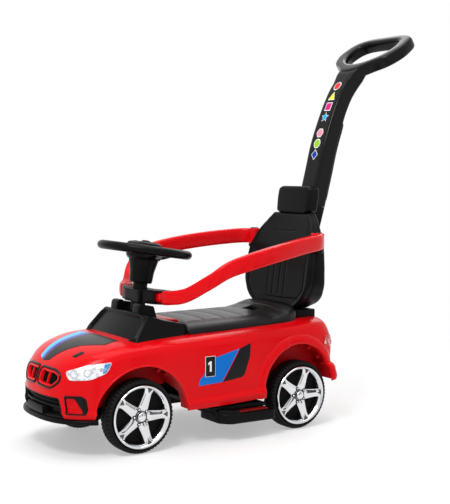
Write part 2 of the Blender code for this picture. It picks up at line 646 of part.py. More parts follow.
def cowl(work):
    """Windshield and its sides, running back to the seat, with the column's two tabs."""
    foot = ((0.0, -0.0120), (0.060, -0.0080), (SEAT_HALF_WIDTH + 0.0025, 0.0030), (SEAT_HALF_WIDTH + 0.0015, 0.060), (SEAT_HALF_WIDTH, COWL_REAR))
    crown = ((0.0, 0.0350), (0.050, 0.0380), (SEAT_TOP_HALF_WIDTH - 0.0020, 0.0440), (SEAT_TOP_HALF_WIDTH, 0.080), (SEAT_TOP_HALF_WIDTH, COWL_REAR))
    crown_z = (0.2590, 0.2590, 0.2580, 0.2480, 0.2385)
    lower = [(x, y, 0.19) for x, y in foot]
    middle = [(x, y, 0.2080) for x, y in foot]
    upper = [(x, y, z) for (x, y), z in zip(crown, crown_z)]

    def whole(half):
        return half + [(-x, y, z) for x, y, z in half[:0:-1]]

    made = work.piece("windshield_cowl", loft([whole(lower), whole(middle), whole(upper)]), BLACK)
    rounding = made.modifiers.new("rounding", "BEVEL")
    rounding.width = 0.003
    rounding.segments = 1
    rounding.limit_method = "ANGLE"
    rounding.angle_limit = math.radians(40)
    slope = Vector((0.0, 0.0470, 0.0510)).normalized()
    panel = rounded([(-0.092, 0.007), (0.092, 0.007), (0.074, 0.058), (-0.074, 0.058)], 0.010)
    place = (0.0, -0.0065, 0.2080)
    recess = plate([panel], 0.0080, Vector(place) + Vector((0, -0.0022, 0.0021)), (1, 0, 0), slope)
    profile = [(0.0360, 0.2450), (0.0400, 0.2785), (0.0440, 0.2825), (0.0545, 0.2825), (0.0605, 0.2768), (0.0775, 0.2768),
               (0.0850, 0.2500), (0.0850, 0.2450)]
    tabs = [plate([profile], 0.026, (side * 0.045, 0, 0), (0, 1, 0), (0, 0, 1)) for side in SIDES.values()]
    merged(work, made, tabs)
    cuts = [recess, rod(steer_point(-0.30), steer_point(0.0), SHAFT_RADIUS + 0.0045)]
    for i, mesh in enumerate(cuts):
        join(made, work.cutter(f"cowl_cut_{i}", mesh))
    join(made, deck_cut(work))
    ears = []
    for side in SIDES.values():
        x = side * HINGE_EAR_X
        ear = work.cutter(f"hinge_ear_{side}", plate(
            [rounded([(-0.016, -0.0065), (0.0, -0.0065), (0.0058, 0.0), (0.0015, 0.0050), (-0.0045, 0.0025), (-0.0075, -0.0005), (-0.016, -0.0015)], 0.0012)],
            0.0050, (x, SEAT_HINGE_Y, SEAT_HINGE_Z), (0, 1, 0), (0, 0, 1)))
        bore = rod((x - 0.01, SEAT_HINGE_Y, SEAT_HINGE_Z), (x + 0.01, SEAT_HINGE_Y, SEAT_HINGE_Z), HINGE_PIN_RADIUS + GAP)
        ears.append(ear)
        join(ear, work.cutter(f"hinge_ear_bore_{side}", bore))
    for ear in ears:
        join(made, ear, "UNION")
    patch = box((-0.052, 0.088, 0.2350), (0.052, COWL_REAR + 0.0007, 0.30))
    join(made, work.cutter("cowl_notch", patch))
    return made


def deck_patch(work):
    """Red panel in the notch of the cowl, before the seat."""
    made = work.piece("deck_panel", box((-0.0515, 0.0885, 0.2353), (0.0515, COWL_REAR - 0.002, 0.2430), 0.0012), RED)
    return made


SEAT_CROWN = ((0.1275, 0.2385), (0.20, 0.2398), (0.27, 0.2405), (0.33, 0.2430), (0.36, 0.2490), (0.38, 0.2550), (0.40, 0.2590), (0.411, 0.2585))
SEAT_STATIONS = (0.1275, 0.1300, 0.1355, 0.20, 0.27, 0.32, 0.345, 0.370, 0.389, 0.404, 0.411)
SEAT_TAPER = (1.0, 1.0, 1.0, 1.0, 1.0, 1.0, 1.0, 1.0, 0.985, 0.935, 0.86)


def seat_ring(y, taper, thin, floor):
    """One cross-section of the seat lid, drawn in by thin."""
    crown_y, crown_z = zip(*SEAT_CROWN)
    top = float(np.interp(y, crown_y, crown_z)) - thin
    half = SEAT_HALF_WIDTH * taper - thin
    shoulder = SEAT_TOP_HALF_WIDTH * taper - thin
    right = [(half, floor), (half, top - 0.0120), (half - 0.003, top - 0.0060), (half - 0.009, top - 0.0020), (shoulder, top), (shoulder * 0.45, top + 0.0015)]
    return [(x, y, z) for x, z in right] + [(-x, y, z) for x, z in right[::-1]]


def seat_lid(work, joint):
    """Hollow seat lid with its hinge bosses and finger recess."""
    skirt = {True: 0.2219, False: 0.20}
    outer = [seat_ring(y, taper, 0.0, skirt[y < 0.131]) for y, taper in zip(SEAT_STATIONS, SEAT_TAPER)]
    for ring, drop in ((0, 0.0055), (1, 0.0025)):
        outer[ring] = [(x, y, z if z < 0.2220 else max(z - drop, 0.2226)) for x, y, z in outer[ring]]
    made = work.piece("seat_lid", loft(outer), SEAT_BLACK, joint)
    inside = [seat_ring(y, taper, WALL, 0.15) for y, taper in zip(SEAT_STATIONS, SEAT_TAPER)]
    for ring, y in ((0, SEAT_FRONT + WALL), (-1, SEAT_REAR - WALL)):
        inside[ring] = [(x, y, z) for x, _, z in inside[ring]]
    inside[0] = [(x, y, z if z < 0.2 else z - 0.0020) for x, y, z in inside[0]]
    inside[1] = [(x, SEAT_FRONT + WALL + 0.002, z) for x, _, z in inside[1]]
    inside[-2] = [(x, SEAT_REAR - WALL - 0.003, z) for x, _, z in inside[-2]]
    hollow = work.cutter("seat_hollow", loft(inside))
    join(hollow, work.cutter("seat_recess_wall", box((-0.034, 0.3280, 0.2320), (0.034, 0.3660, 0.30), 0.004)))
    join(made, hollow)
    join(made, work.cutter("seat_recess", box((-0.031, 0.3310, 0.2350), (0.031, 0.3630, 0.30), 0.004)))
    join(made, deck_cut(work, 0.0006))
    bosses = []
    for side in SIDES.values():
        x = side * 0.036
        bosses.append(plate(
            [rounded([(-0.0055, -0.0055), (0.0055, -0.0055), (0.0055, 0.0058), (-0.0055, 0.0058)], 0.003)],
            0.008, (x, SEAT_HINGE_Y, SEAT_HINGE_Z), (0, 1, 0), (0, 0, 1)))
    merged(work, made, bosses)
    cuts = [
        rod((-0.07, SEAT_HINGE_Y, SEAT_HINGE_Z), (0.07, SEAT_HINGE_Y, SEAT_HINGE_Z), HINGE_PIN_RADIUS + RUNNING),
        box((-0.062, 0.10, 0.19), (0.062, SEAT_FRONT + WALL + 0.0012, SEAT_HINGE_Z + 0.0040)),
    ]
    for side in SIDES.values():
        x = side * HINGE_EAR_X
        cuts.append(box((x - 0.0035, 0.10, 0.19), (x + 0.0035, 0.1410, SEAT_HINGE_Z + 0.0062)))
        cuts.append(box((x - 0.0035, 0.10, 0.19), (x + 0.0035, SEAT_HINGE_Y - 0.0030, 0.30)))
    for i, mesh in enumerate(cuts):
        join(made, work.cutter(f"seat_cut_{i}", mesh))
    return made


def storage_tub(work):
    """Open box under the seat lid, hung on a rim that follows the deck."""
    low, high = (-TUB_HALF_WIDTH, TUB_FRONT, TUB_FLOOR), (TUB_HALF_WIDTH, TUB_REAR, 0.2262)
    rim = work.piece("storage_tub", box((-0.080, TUB_FRONT - 0.009, 0.2100), (0.080, TUB_REAR + 0.009, 0.2290)), BLACK)
    join(rim, deck_cut(work))
    join(rim, work.cutter("tub_walls", box(low, high)), "UNION")
    inner = box((low[0] + 0.0025, low[1] + 0.0025, TUB_FLOOR + 0.0025), (high[0] - 0.0025, high[1] - 0.0025, 0.30), 0.004)
    join(rim, work.cutter("tub_inside", inner))
    return rim


# Backrest, headrest and the socket of the push handle

def backrest_ring(z, half, front, rear, first, last, grow=0.0):
    """A level of the backrest between two depths, given from the front face or as the rear."""
    near = front + first
    far = rear if last is None else front + last
    edge = 0.006
    points = [(half - edge, near), (half * 0.55, near + 0.0016), (half * 0.2, near + 0.0030)]
    points = [(x, y) for x, y in points]
    right = [(half, near + edge), *points] if last is not None else [(half, near), (half * 0.5, near), (half * 0.2, near)]
    left = [(-x, y) for x, y in right[::-1]]
    if last is None:
        back = [(-half, far - 0.010), (-half + 0.008, far), (half - 0.008, far), (half, far - 0.010)]
    else:
        back = [(-half, far), (half, far)]
    return [(x + grow * np.sign(x), y, z) for x, y in right + left + back]


def socket_rings(width, depth, low, high, low_y=None):
    """Rectangular sections of the leaning post from one height to another."""
    lean = math.tan(HANDLE_LEAN)
    high_y = HANDLE_PATH[0][0] + (high - HANDLE_PATH[0][1]) * lean
    low_y = HANDLE_PATH[0][0] + (low - HANDLE_PATH[0][1]) * lean if low_y is None else low_y
    across, down = math.cos(HANDLE_LEAN), math.sin(HANDLE_LEAN)
    section = rectangle(width / 2, depth / 2, 0.004, 1)
    return [[(x, y + v * across, z - v * down) for x, v in section] for y, z in ((low_y, low), (high_y, high))]


def socket_frame(along):
    """Matrix whose Z is the push handle's slide, at a distance up from the handle's foot."""
    base = Matrix.Translation((0.0, *HANDLE_PATH[0])) @ Matrix.Rotation(-HANDLE_LEAN, 4, "X")
    return base @ Matrix.Translation((0.0, 0.0, along))


def backrest(work):
    """Front panel, rear shell with the handle socket, headrest, plinth and rail pins."""
    front = [backrest_ring(z, half, near, far, 0.0, FRONT_PANEL_THICK - GAP) for z, half, near, far in BACKREST]
    panel = work.piece("backrest_front", loft(front), BLACK)
    rear = [backrest_ring(z, half, near, far, FRONT_PANEL_THICK, None) for z, half, near, far in BACKREST]
    shell = work.piece("backrest_shell", loft(rear), BLACK)
    column = socket_rings(0.053, 0.040, PLINTH_TOP - 0.0120, HANDLE_BOTTOM - 0.001, low_y=0.4560)
    stub = socket_rings(
        HANDLE_WIDTH - 2 * (HANDLE_WALL + STUB_PLAY), HANDLE_DEPTH - 2 * (HANDLE_WALL + STUB_PLAY), 0.440, SOCKET_TOP)
    joined = [loft(column), loft(stub)]
    for side in SIDES.values():
        x, y = side * RAIL_PIN[0], RAIL_PIN[1]
        joined.append(rod((x, y, RAIL_BOSS_BOTTOM - 0.0080), (x, y, RAIL_BOSS_BOTTOM - GAP), RAIL_BOSS_RADIUS - 0.001, sides=20))
        joined.append(box((min(x, side * 0.08), 0.4465, RAIL_BOSS_BOTTOM - 0.0075), (max(x, side * 0.08), 0.4600, RAIL_BOSS_BOTTOM - 0.0008)))
    merged(work, shell, joined)
    latch = socket_frame(0.030)
    catch = rod((0, HANDLE_DEPTH / 2 - 0.0090, 0), (0, HANDLE_DEPTH, 0), 0.0072, sides=16)
    catch.transform(latch)
    join(shell, work.cutter("button_catch", catch))
    for name, side in SIDES.items():
        x, y = side * RAIL_PIN[0], RAIL_PIN[1]
        for target, bottom in ((panel, RAIL_BOSS_BOTTOM - 0.0086), (shell, RAIL_BOSS_BOTTOM - GAP)):
            room = rod((x, y, bottom), (x, y, RAIL_BOSS_TOP + 0.045), RAIL_BOSS_RADIUS + 0.002, sides=24)
            join(target, work.cutter(f"rail_room_{target.name}_{name}", room))
        join(shell, work.cutter(f"rail_pin_seat_{name}", rod((x, y, RAIL_BOSS_BOTTOM - 0.0060), (x, y, RAIL_BOSS_BOTTOM + 0.0100), RAIL_PIN_RADIUS + GAP)))
        pin = work.piece(f"rail_pin_{name}", rod((x, y, RAIL_BOSS_BOTTOM - 0.0057), (x, y, RAIL_BOSS_TOP + 0.0015), RAIL_PIN_RADIUS), BLACK)
        merged(work, pin, [rod((x, y, RAIL_BOSS_TOP + GAP), (x, y, RAIL_BOSS_TOP + 0.0022), 0.0095, 0.0088, sides=20)])
    rows = ((HEADREST_BOTTOM, 0.052), (0.4620, 0.0570), (0.4900, 0.0590), (0.5080, 0.0560), (0.5150, 0.0470))
    rings = []
    for z, half in rows:
        lean = (z - HEADREST_BOTTOM) * 0.12
        outline = rounded([(-half, 0.4650 + lean), (half, 0.4650 + lean), (half, 0.4960 + lean), (-half, 0.4960 + lean)], 0.006, 2)
        rings.append([(x, y, z) for x, y in outline])
    rest = work.piece("headrest", loft(rings), BLACK)
    rounding = rest.modifiers.new("rounding", "BEVEL")
    rounding.width = 0.002
    rounding.segments = 1
    rounding.limit_method = "ANGLE"
    rounding.angle_limit = math.radians(40)
    join(rest, work.cutter("headrest_clear", loft(socket_rings(0.0536, 0.0406, 0.42, 0.56))))
    plinth = work.piece("backrest_plinth", box((-0.086, 0.4200, 0.2200), (0.086, 0.4705, PLINTH_TOP), 0.002, 1), BLACK)
    join(plinth, deck_cut(work))
    foot = socket_rings(0.0536, 0.0406, PLINTH_TOP - 0.0126, HANDLE_BOTTOM - 0.001, low_y=0.4560)
    join(plinth, work.cutter("plinth_socket", loft(foot)))


# Steering

def steer_point(along):
    """A point on the steering axis, measured up from the middle of the wheel."""
    x, y, z = WHEEL_HUB
    return (x, y + along * math.sin(STEER_TILT), z + along * math.cos(STEER_TILT))


def steer_frame(along=0.0):
    """Matrix whose Z is the steering axis, at a point along it."""
    return Matrix.Translation(steer_point(along)) @ Matrix.Rotation(-STEER_TILT, 4, "X")


def column_and_bracket(work):
    """Fixed sleeve round the shaft, and the cross bracket that takes the rails' front ends."""
    sleeve = work.piece("column_sleeve", rod(steer_point(-0.1290), steer_point(-0.0640), SLEEVE_RADIUS, sides=24), BLACK)
    join(sleeve, work.cutter("sleeve_bore", rod(steer_point(-0.20), steer_point(0.0), SHAFT_RADIUS + RUNNING)))
    bottom, top = BRACKET_Z - BRACKET_HEIGHT / 2, BRACKET_Z + BRACKET_HEIGHT / 2
    bracket = work.piece("rail_bracket", box((-0.0300, 0.0540, bottom + 0.0005), (0.0300, 0.0950, top - 0.0005), 0.003, 1), BLACK)
    for side in SIDES.values():
        arm = rounded([(0.0200, 0.0580), (0.0620, 0.0670), (0.0790, 0.0800), (0.0790, 0.1040), (0.0560, 0.1000), (0.0200, 0.0900)], 0.004, 1)
        arm_mesh = plate([arm], BRACKET_HEIGHT, (0, 0, BRACKET_Z), (1, 0, 0), (0, 1, 0))
        merged(work, bracket, [for_side(arm_mesh, side)])
    for name, side in SIDES.items():
        mouth = [(0.0480, 0.0690), (0.0620, 0.0705), (0.1100, 0.0760), (0.1100, 0.1300), (0.0480, 0.1300)]
        slot = plate([mouth], TONGUE_HEIGHT + 0.0010, (0, 0, BRACKET_Z), (1, 0, 0), (0, 1, 0))
        join(bracket, work.cutter(f"rail_slot_{name}", for_side(slot, side)))
    join(bracket, work.cutter("bracket_bore", rod(steer_point(-0.15), steer_point(0.0), SLEEVE_RADIUS + GAP, sides=24)))
    return bracket


def steering(work, joint, horn_joint):
    """Wheel, hub cone, control pad, horn button and the shaft with its crank."""
    axis = steer_frame()
    ring = [(STEER_RIM_RADIUS + STEER_TUBE_RADIUS * math.cos(a), 0.85 * STEER_TUBE_RADIUS * math.sin(a))
            for a in np.linspace(0, math.tau, 9)[:-1]]
    rim = work.piece("steering_wheel", turned(ring, 30, axis), BLACK, joint)
    inner = STEER_RIM_RADIUS - 0.003
    spokes = plate([[
        (-inner, -0.011), (-0.020, -0.020), (0.020, -0.020), (inner, -0.011), (inner, 0.011), (0.024, 0.024),
        (0.011, inner), (-0.011, inner), (-0.024, 0.024), (-inner, 0.011),
    ]], 0.0120, (0, 0, -0.002), (1, 0, 0), (0, 1, 0))
    spokes.transform(axis)
    hub = turned([(0.0, -0.013), (0.034, -0.013), (0.036, -0.006), (0.034, 0.0045), (0.0, 0.0045)], 24, axis)
    merged(work, rim, [spokes, hub])
    bore = rod(steer_point(-0.10), steer_point(-0.002), SHAFT_RADIUS + GAP)
    join(rim, work.cutter("wheel_bore", bore))

    cone = work.piece("steering_cone", turned(
        [(0.0, -0.0610), (0.0195, -0.0610), (0.0270, -0.0133), (0.0, -0.0133)], 24, axis), BLACK, joint)
    join(cone, work.cutter("cone_bore", bore.copy()))

    pad_outline = rounded([(-0.034, -0.030), (0.034, -0.030), (0.030, 0.022), (0.012, 0.032), (-0.012, 0.032), (-0.030, 0.022)], 0.014, 3)
    levels = ((0.0048, 1.0), (0.0105, 1.0), (0.0150, 0.90), (0.0170, 0.72))
    pad_mesh = loft([[(u * k, v * k, z) for u, v in pad_outline] for z, k in levels])
    pad_mesh.transform(axis)
    pad = work.piece("horn_pad", pad_mesh, BLACK, joint)
    join(pad, work.cutter("horn_well", turned([(0.0, 0.0100), (0.0100, 0.0100), (0.0100, 0.05), (0.0, 0.05)], 20, axis)))
    work.piece("horn_button", turned(
        [(0.0, 0.0135), (0.0094, 0.0135), (0.0094, 0.0180), (0.0080, 0.0195), (0.0, 0.0200)], 20, axis), RED, horn_joint)
    stem = work.cutter("horn_stem", turned([(0.0, 0.0130), (0.0030, 0.0130), (0.0030, 0.0140), (0.0, 0.0140)], 12, axis))
    bpy.data.objects.remove(stem)

    foot = -0.3140
    shaft = work.piece("steering_shaft", rod(steer_point(foot), steer_point(-0.0023), SHAFT_RADIUS), STEEL, joint)
    crank = box((-0.0065, -0.0070, foot - 0.0003), (0.0065, CRANK + 0.005, foot + 0.006))
    crank.transform(steer_frame())
    pin = rod((0, CRANK, foot - 0.0085), (0, CRANK, foot + 0.003), LINK_PIN_RADIUS, sides=12)
    pin.transform(steer_frame())
    merged(work, shaft, [crank, pin])


def crank_pin_y():
    """Where the crank pin crosses the tie rod."""
    frame = steer_frame(-0.3140)
    tip = frame @ Vector((0, CRANK, 0))
    down = frame.to_3x3() @ Vector((0, 0, -1))
    level = (TIE_ROD_BOTTOM + TIE_ROD_TOP) / 2
    return tip.y + down.y * (tip.z - level) / -down.z


def front_axle(work, rod_joint, knuckle_joints):
    """Axle beam with forked ends, knuckles with stub axles, and the tie rod."""
    end = [(KINGPIN_X + 0.0105 * math.cos(a), 0.0105 * math.sin(a)) for a in np.linspace(-math.pi / 2, math.pi / 2, 7)]
    half = [(0.0, -0.0140), (0.0730, -0.0140), (0.0760, -0.0116), *end, (0.0760, 0.0116), (0.0730, 0.0140), (0.0, 0.0140)]
    outline = half[1:-1] + [(-x, y) for x, y in half[-2:0:-1]]
    low, high = 0.0575, BRIDGE_UNDER - GAP
    beam = work.piece("front_axle_beam", plate(
        [outline], high - low, (0, 0, (low + high) / 2), (1, 0, 0), (0, 1, 0)), BLACK)
    for name, side in SIDES.items():
        throat = for_side(box((0.0735, -0.02, 0.0635), (0.12, 0.02, 0.0817)), side)
        join(beam, work.cutter(f"fork_throat_{name}", throat))
    for name, side in SIDES.items():
        x = side * KINGPIN_X
        join(beam, work.cutter(f"kingpin_bore_{name}", rod((x, 0, 0.05), (x, 0, 0.10), AXLE_RADIUS + RUNNING)))

        knuckle = work.piece(f"knuckle_{name}", rod((x, 0, 0.0638), (x, 0, 0.0814), 0.0090, sides=16), STEEL, knuckle_joints[name])
        out = side * (WHEEL_X + 0.0120)
        arm_y = KNUCKLE_ARM
        merged(work, knuckle, [
            rod((x, 0, 0.0578), (x, 0, 0.0874), AXLE_RADIUS),
            rod((x, 0, AXLE_HEIGHT), (out, 0, AXLE_HEIGHT), AXLE_RADIUS),
            box((x - 0.0040, 0.0, 0.0640), (x + 0.0040, arm_y + 0.0045, 0.0700), 0.001, 1),
            rod((x, arm_y, 0.0560), (x, arm_y, 0.0660), LINK_PIN_RADIUS, sides=12),
        ])
    across = []
    for side in SIDES.values():
        across.append((side * KINGPIN_X, KNUCKLE_ARM))
    middle = crank_pin_y()
    bar = plate([[(-KINGPIN_X, KNUCKLE_ARM - 0.004), (KINGPIN_X, KNUCKLE_ARM - 0.004),
                  (KINGPIN_X, KNUCKLE_ARM + 0.004), (0.012, KNUCKLE_ARM + 0.004), (0.0085, middle),
                  (0.0085, middle + 0.009), (-0.0085, middle + 0.009), (-0.0085, middle),
                  (-0.012, KNUCKLE_ARM + 0.004), (-KINGPIN_X, KNUCKLE_ARM + 0.004)]],
                TIE_ROD_TOP - TIE_ROD_BOTTOM, (0, 0, (TIE_ROD_TOP + TIE_ROD_BOTTOM) / 2), (1, 0, 0), (0, 1, 0))
    tie = work.piece("tie_rod", bar, STEEL, rod_joint)
    merged(work, tie, [rod((x, y, TIE_ROD_BOTTOM), (x, y, TIE_ROD_TOP), 0.0082, sides=16) for x, y in across])
    for i, (x, y) in enumerate(across + [(0.0, middle)]):
        half_x, half_y = LINK_PIN_RADIUS + 0.0007, LINK_PIN_RADIUS + (0.0022 if i < 2 else 0.0035)
        slot = plate([rectangle(half_x, half_y, 0.003, 2)], 0.02, (x, y, 0.0615), (1, 0, 0), (0, 1, 0))
        join(tie, work.cutter(f"tie_slot_{i}", slot))


# Wheels

def tyre_mesh():
    """Tyre with a notched shoulder: alternate columns of the shoulder stand lower."""
    profile = (
        (BEAD_RADIUS, -0.0150), (0.0640, -TYRE_HALF_WIDTH), (0.0705, -0.0160), (TYRE_RADIUS, -0.0100),
        (TYRE_RADIUS, 0.0100), (0.0705, 0.0160), (0.0660, TYRE_HALF_WIDTH), (0.0627, 0.0143), (BEAD_RADIUS, 0.0141),
    )
    rings = []
    for column in range(TREAD_COLUMNS):
        angle = math.tau * (column + 0.5) / TREAD_COLUMNS
        ring = []
        for radius, across in profile:
            if radius == 0.0705 and column % 2:
                radius -= LUG_DEPTH
            ring.append((radius * math.cos(angle), radius * math.sin(angle), across))
        rings.append(ring)
    return loft(rings, closed=True)


def cover_mesh():
    """Dished face of the wheel cover, before its windows are cut."""
    return turned([
        (0.0, 0.0212), (0.0090, 0.0212), (0.0110, 0.0155), (0.0510, 0.0176), (0.0560, 0.0218),
        (0.0600, FACE_OUT), (RIM_RADIUS, 0.0200), (RIM_RADIUS, 0.0148), (0.0, 0.0122),
    ], 20)


def window_outline(turn):
    """Opening between two spokes of the cover."""
    corners = ((0.0225, -0.14), (0.0380, -0.40), (0.0510, -0.46), (0.0540, -0.40), (0.0540, 0.40), (0.0510, 0.46), (0.0380, 0.40), (0.0225, 0.14))
    return [(r * math.cos(a + turn), r * math.sin(a + turn)) for r, a in corners]


def wheels(work, joints):
    """Four wheels: tyre, black wheel body and plated cover."""
    body_profile = (
        (AXLE_RADIUS + RUNNING, -0.0175), (HUB_RADIUS, -0.0175), (HUB_RADIUS, -0.0040), (0.0545, -0.0055),
        (0.0545, -0.0145), (BEAD_RADIUS - 0.0007, -0.0145), (BEAD_RADIUS - 0.0007, 0.0138), (0.0545, 0.0138),
        (0.0545, -0.0010), (HUB_RADIUS, 0.0100), (AXLE_RADIUS + RUNNING, 0.0100),
    )
    for name, joint in joints.items():
        side = 1 if name.endswith("left") else -1
        for part, mesh, finish in (
            ("tyre", tyre_mesh(), TYRE_BLACK),
            ("wheel_body", turned(body_profile, 14), BLACK),
            ("wheel_cover", cover_mesh(), CHROME),
        ):
            mesh.transform(wheel_frame(joint, side))
            made = work.piece(f"{part}_{name}", mesh, finish, joint)
            if part == "wheel_cover":
                for i in range(SPOKES):
                    turn = math.pi / 2 + math.tau * (i + 0.5) / SPOKES
                    window = plate([window_outline(turn)], 0.05, (0, 0, 0.015), (1, 0, 0), (0, 1, 0))
                    window.transform(wheel_frame(joint, side))
                    join(made, work.cutter(f"window_{name}_{i}", window))


def wheel_frame(joint, side):
    """Matrix that stands a wheel made round Z at its joint, face outwards."""
    return frame_of(joint) @ Matrix.Rotation(side * math.pi / 2, 4, "Y")


# Guard rails, footrests and push handle

def guards(work, joints):
    """Two S-shaped rails, each with a boss round its rear pin."""
    for name, side in SIDES.items():
        path = smooth_path([(side * x, y, z) for x, y, z in RAIL_PATH], 2)
        tangents = np.gradient(path, axis=0)
        section = rectangle(RAIL_THICK / 2, RAIL_HEIGHT / 2, 0.006, 1)
        rings = []
        for point, tangent in zip(path, tangents):
            share = min(1.0, max(0.0, (point[1] - 0.095) / 0.06))
            full = 0.0285 + share * (RAIL_HEIGHT - 0.0285)
            across = np.array([tangent[1], -tangent[0], 0.0])
            across /= np.linalg.norm(across)
            lift = full / RAIL_HEIGHT
            rings.append([tuple(point + u * across + np.array([0, 0, v * lift])) for u, v in section])
        made = work.piece(f"guard_rail_{name}", loft(rings), RED, joints[name])
        for low, high in ((BRACKET_Z + TONGUE_HEIGHT / 2, 0.33), (0.25, BRACKET_Z - TONGUE_HEIGHT / 2)):
            waste = for_side(box((0.0, 0.02, low), (TONGUE_X, 0.1200, high)), side)
            join(made, work.cutter(f"tongue_{name}_{low:.2f}", waste))
        x, y = side * RAIL_PIN[0], RAIL_PIN[1]
        merged(work, made, [rod((x, y, RAIL_BOSS_BOTTOM), (x, y, RAIL_BOSS_TOP), RAIL_BOSS_RADIUS, sides=24)])
        join(made, work.cutter(f"rail_trim_{name}", box((x - 0.1, y - 0.2, RAIL_BOSS_TOP), (x + 0.1, y + 0.1, RAIL_BOSS_TOP + 0.035))))
        join(made, work.cutter(f"rail_trim_low_{name}", box((x - 0.03, y - 0.05, 0.34), (x + 0.03, y + 0.1, RAIL_BOSS_BOTTOM))))
        join(made, work.cutter(f"rail_bore_{name}", rod((x, y, 0.30), (x, y, 0.50), RAIL_PIN_RADIUS + RUNNING)))


def footrests(work, joints):
    """Sliding footrests with a red anti-slip insert, under the tray."""
    for name, side in SIDES.items():
        corners = [(FOOTREST_IN, FOOTREST_FRONT), (0.140, FOOTREST_FRONT), (FOOTREST_OUT - 0.003, FOOTREST_FRONT + 0.018),
                   (FOOTREST_OUT, FOOTREST_REAR), (FOOTREST_IN, FOOTREST_REAR)]
        outline = rounded(corners, 0.008, 2)
        height = FOOTREST_TOP - FOOTREST_BOTTOM
        middle = (FOOTREST_TOP + FOOTREST_BOTTOM) / 2
        rest = work.piece(f"footrest_{name}", for_side(plate([outline], height, (0, 0, middle), (1, 0, 0), (0, 1, 0)), side),
                          BLACK, joints[name])
        wing = box((FOOTREST_IN, FOOTREST_FRONT - 0.0040, 0.0592), (0.1340, FOOTREST_REAR + 0.0040, TRAY_FLOOR - GAP))
        web = box((FOOTREST_IN + 0.0005, FOOTREST_FRONT + 0.006, 0.0500), (0.1120, FOOTREST_REAR - 0.006, 0.0620))
        corner = rounded(
            [(0.124, FOOTREST_FRONT + 0.0003), (0.140, FOOTREST_FRONT + 0.0003), (FOOTREST_OUT - 0.0035, FOOTREST_FRONT + 0.019),
             (FOOTREST_OUT - 0.0013, 0.2120), (0.1545, 0.2120), (0.1525, 0.1960), (0.1385, 0.1825), (0.124, 0.1815)], 0.003, 1)
        lip = plate([corner], 0.0140, (0, 0, 0.0570), (1, 0, 0), (0, 1, 0))
        merged(work, rest, [for_side(mesh, side) for mesh in (web, wing, lip)])
        bed = plate([TREAD_OUTLINE], 0.03, (0, 0, FOOTREST_TOP + 0.0090), (1, 0, 0), (0, 1, 0))
        join(rest, work.cutter(f"tread_bed_{name}", for_side(bed, side)))
        pad = plate([inset(TREAD_OUTLINE, GAP)], 0.0062, (0, 0, FOOTREST_TOP - 0.0026), (1, 0, 0), (0, 1, 0))
        tread = work.piece(f"footrest_tread_{name}", for_side(pad, side), RED, joints[name])
        ribs = [for_side(box((0.1190, y, FOOTREST_TOP - 0.001), (0.1465, y + 0.0045, FOOTREST_TOP + 0.0022)), side)
                for y in np.arange(FOOTREST_FRONT + 0.0270, FOOTREST_REAR - 0.014, 0.0125)]
        merged(work, tread, ribs)


def push_handle(work, joint, button_joint):
    """Stem, hollow at its foot for the socket's stub, with a two-handed loop on top."""
    path = smooth_path([(y, z) for y, z in HANDLE_PATH], 2)
    tangents = np.gradient(path, axis=0)
    lean = np.array([math.sin(HANDLE_LEAN), math.cos(HANDLE_LEAN)])
    tangents[0] = lean
    rings = []
    for (y, z), tangent in zip(path, tangents):
        ahead = np.array([tangent[1], -tangent[0]]) / np.linalg.norm(tangent)
        section = rectangle(HANDLE_WIDTH / 2, HANDLE_DEPTH / 2, 0.006, 2)
        rings.append([(u, y + v * ahead[0], z + v * ahead[1]) for u, v in section])
    handle = work.piece("push_handle", loft(rings), BLACK, joint)
    outer = ((0.0225, -0.012), (0.0240, 0.012), (0.0520, 0.030), (0.0860, 0.048), (0.1040, 0.082), (0.1040, 0.106), (0.0930, 0.136), (0.0600, 0.150), (0.0, LOOP_LENGTH))
    hole = ((0.0, 0.036), (0.0330, 0.041), (0.0600, 0.058), (0.0770, 0.085), (0.0770, 0.104), (0.0680, 0.120), (0.0480, 0.128), (0.0, 0.129))

    def whole(half, radius):
        left = [(-x, s) for x, s in half[::-1] if x > 0]
        return rounded(list(half) + left, radius, 2)

    along = (0, math.cos(LOOP_TILT), math.sin(LOOP_TILT))
    loop = plate([whole(outer, 0.010), whole(hole, 0.008)], LOOP_THICK, (0, *LOOP_START), (1, 0, 0), along)
    holder = work.cutter("handle_loop", loop)
    rounding = holder.modifiers.new("rounding", "BEVEL")
    rounding.width = 0.006
    rounding.segments = 1
    rounding.limit_method = "ANGLE"
    rounding.angle_limit = math.radians(60)
    join(handle, holder, "UNION")
    room = socket_rings(HANDLE_WIDTH - 2 * HANDLE_WALL, HANDLE_DEPTH - 2 * HANDLE_WALL, 0.40, SOCKET_TOP + 0.001)
    join(handle, work.cutter("handle_room", loft(room)))
    frame = frame_of(button_joint)
    hole_mesh = rod((0, -0.002, 0), (0, 0.02, 0), 0.0068, sides=16)
    hole_mesh.transform(frame)
    join(handle, work.cutter("button_hole", hole_mesh))
    button = rod((0, 0.0002, 0), (0, 0.0065, 0), 0.0064, sides=16)
    button.transform(frame)
    work.piece("handle_button", button, BLACK, button_joint)


# Chassis

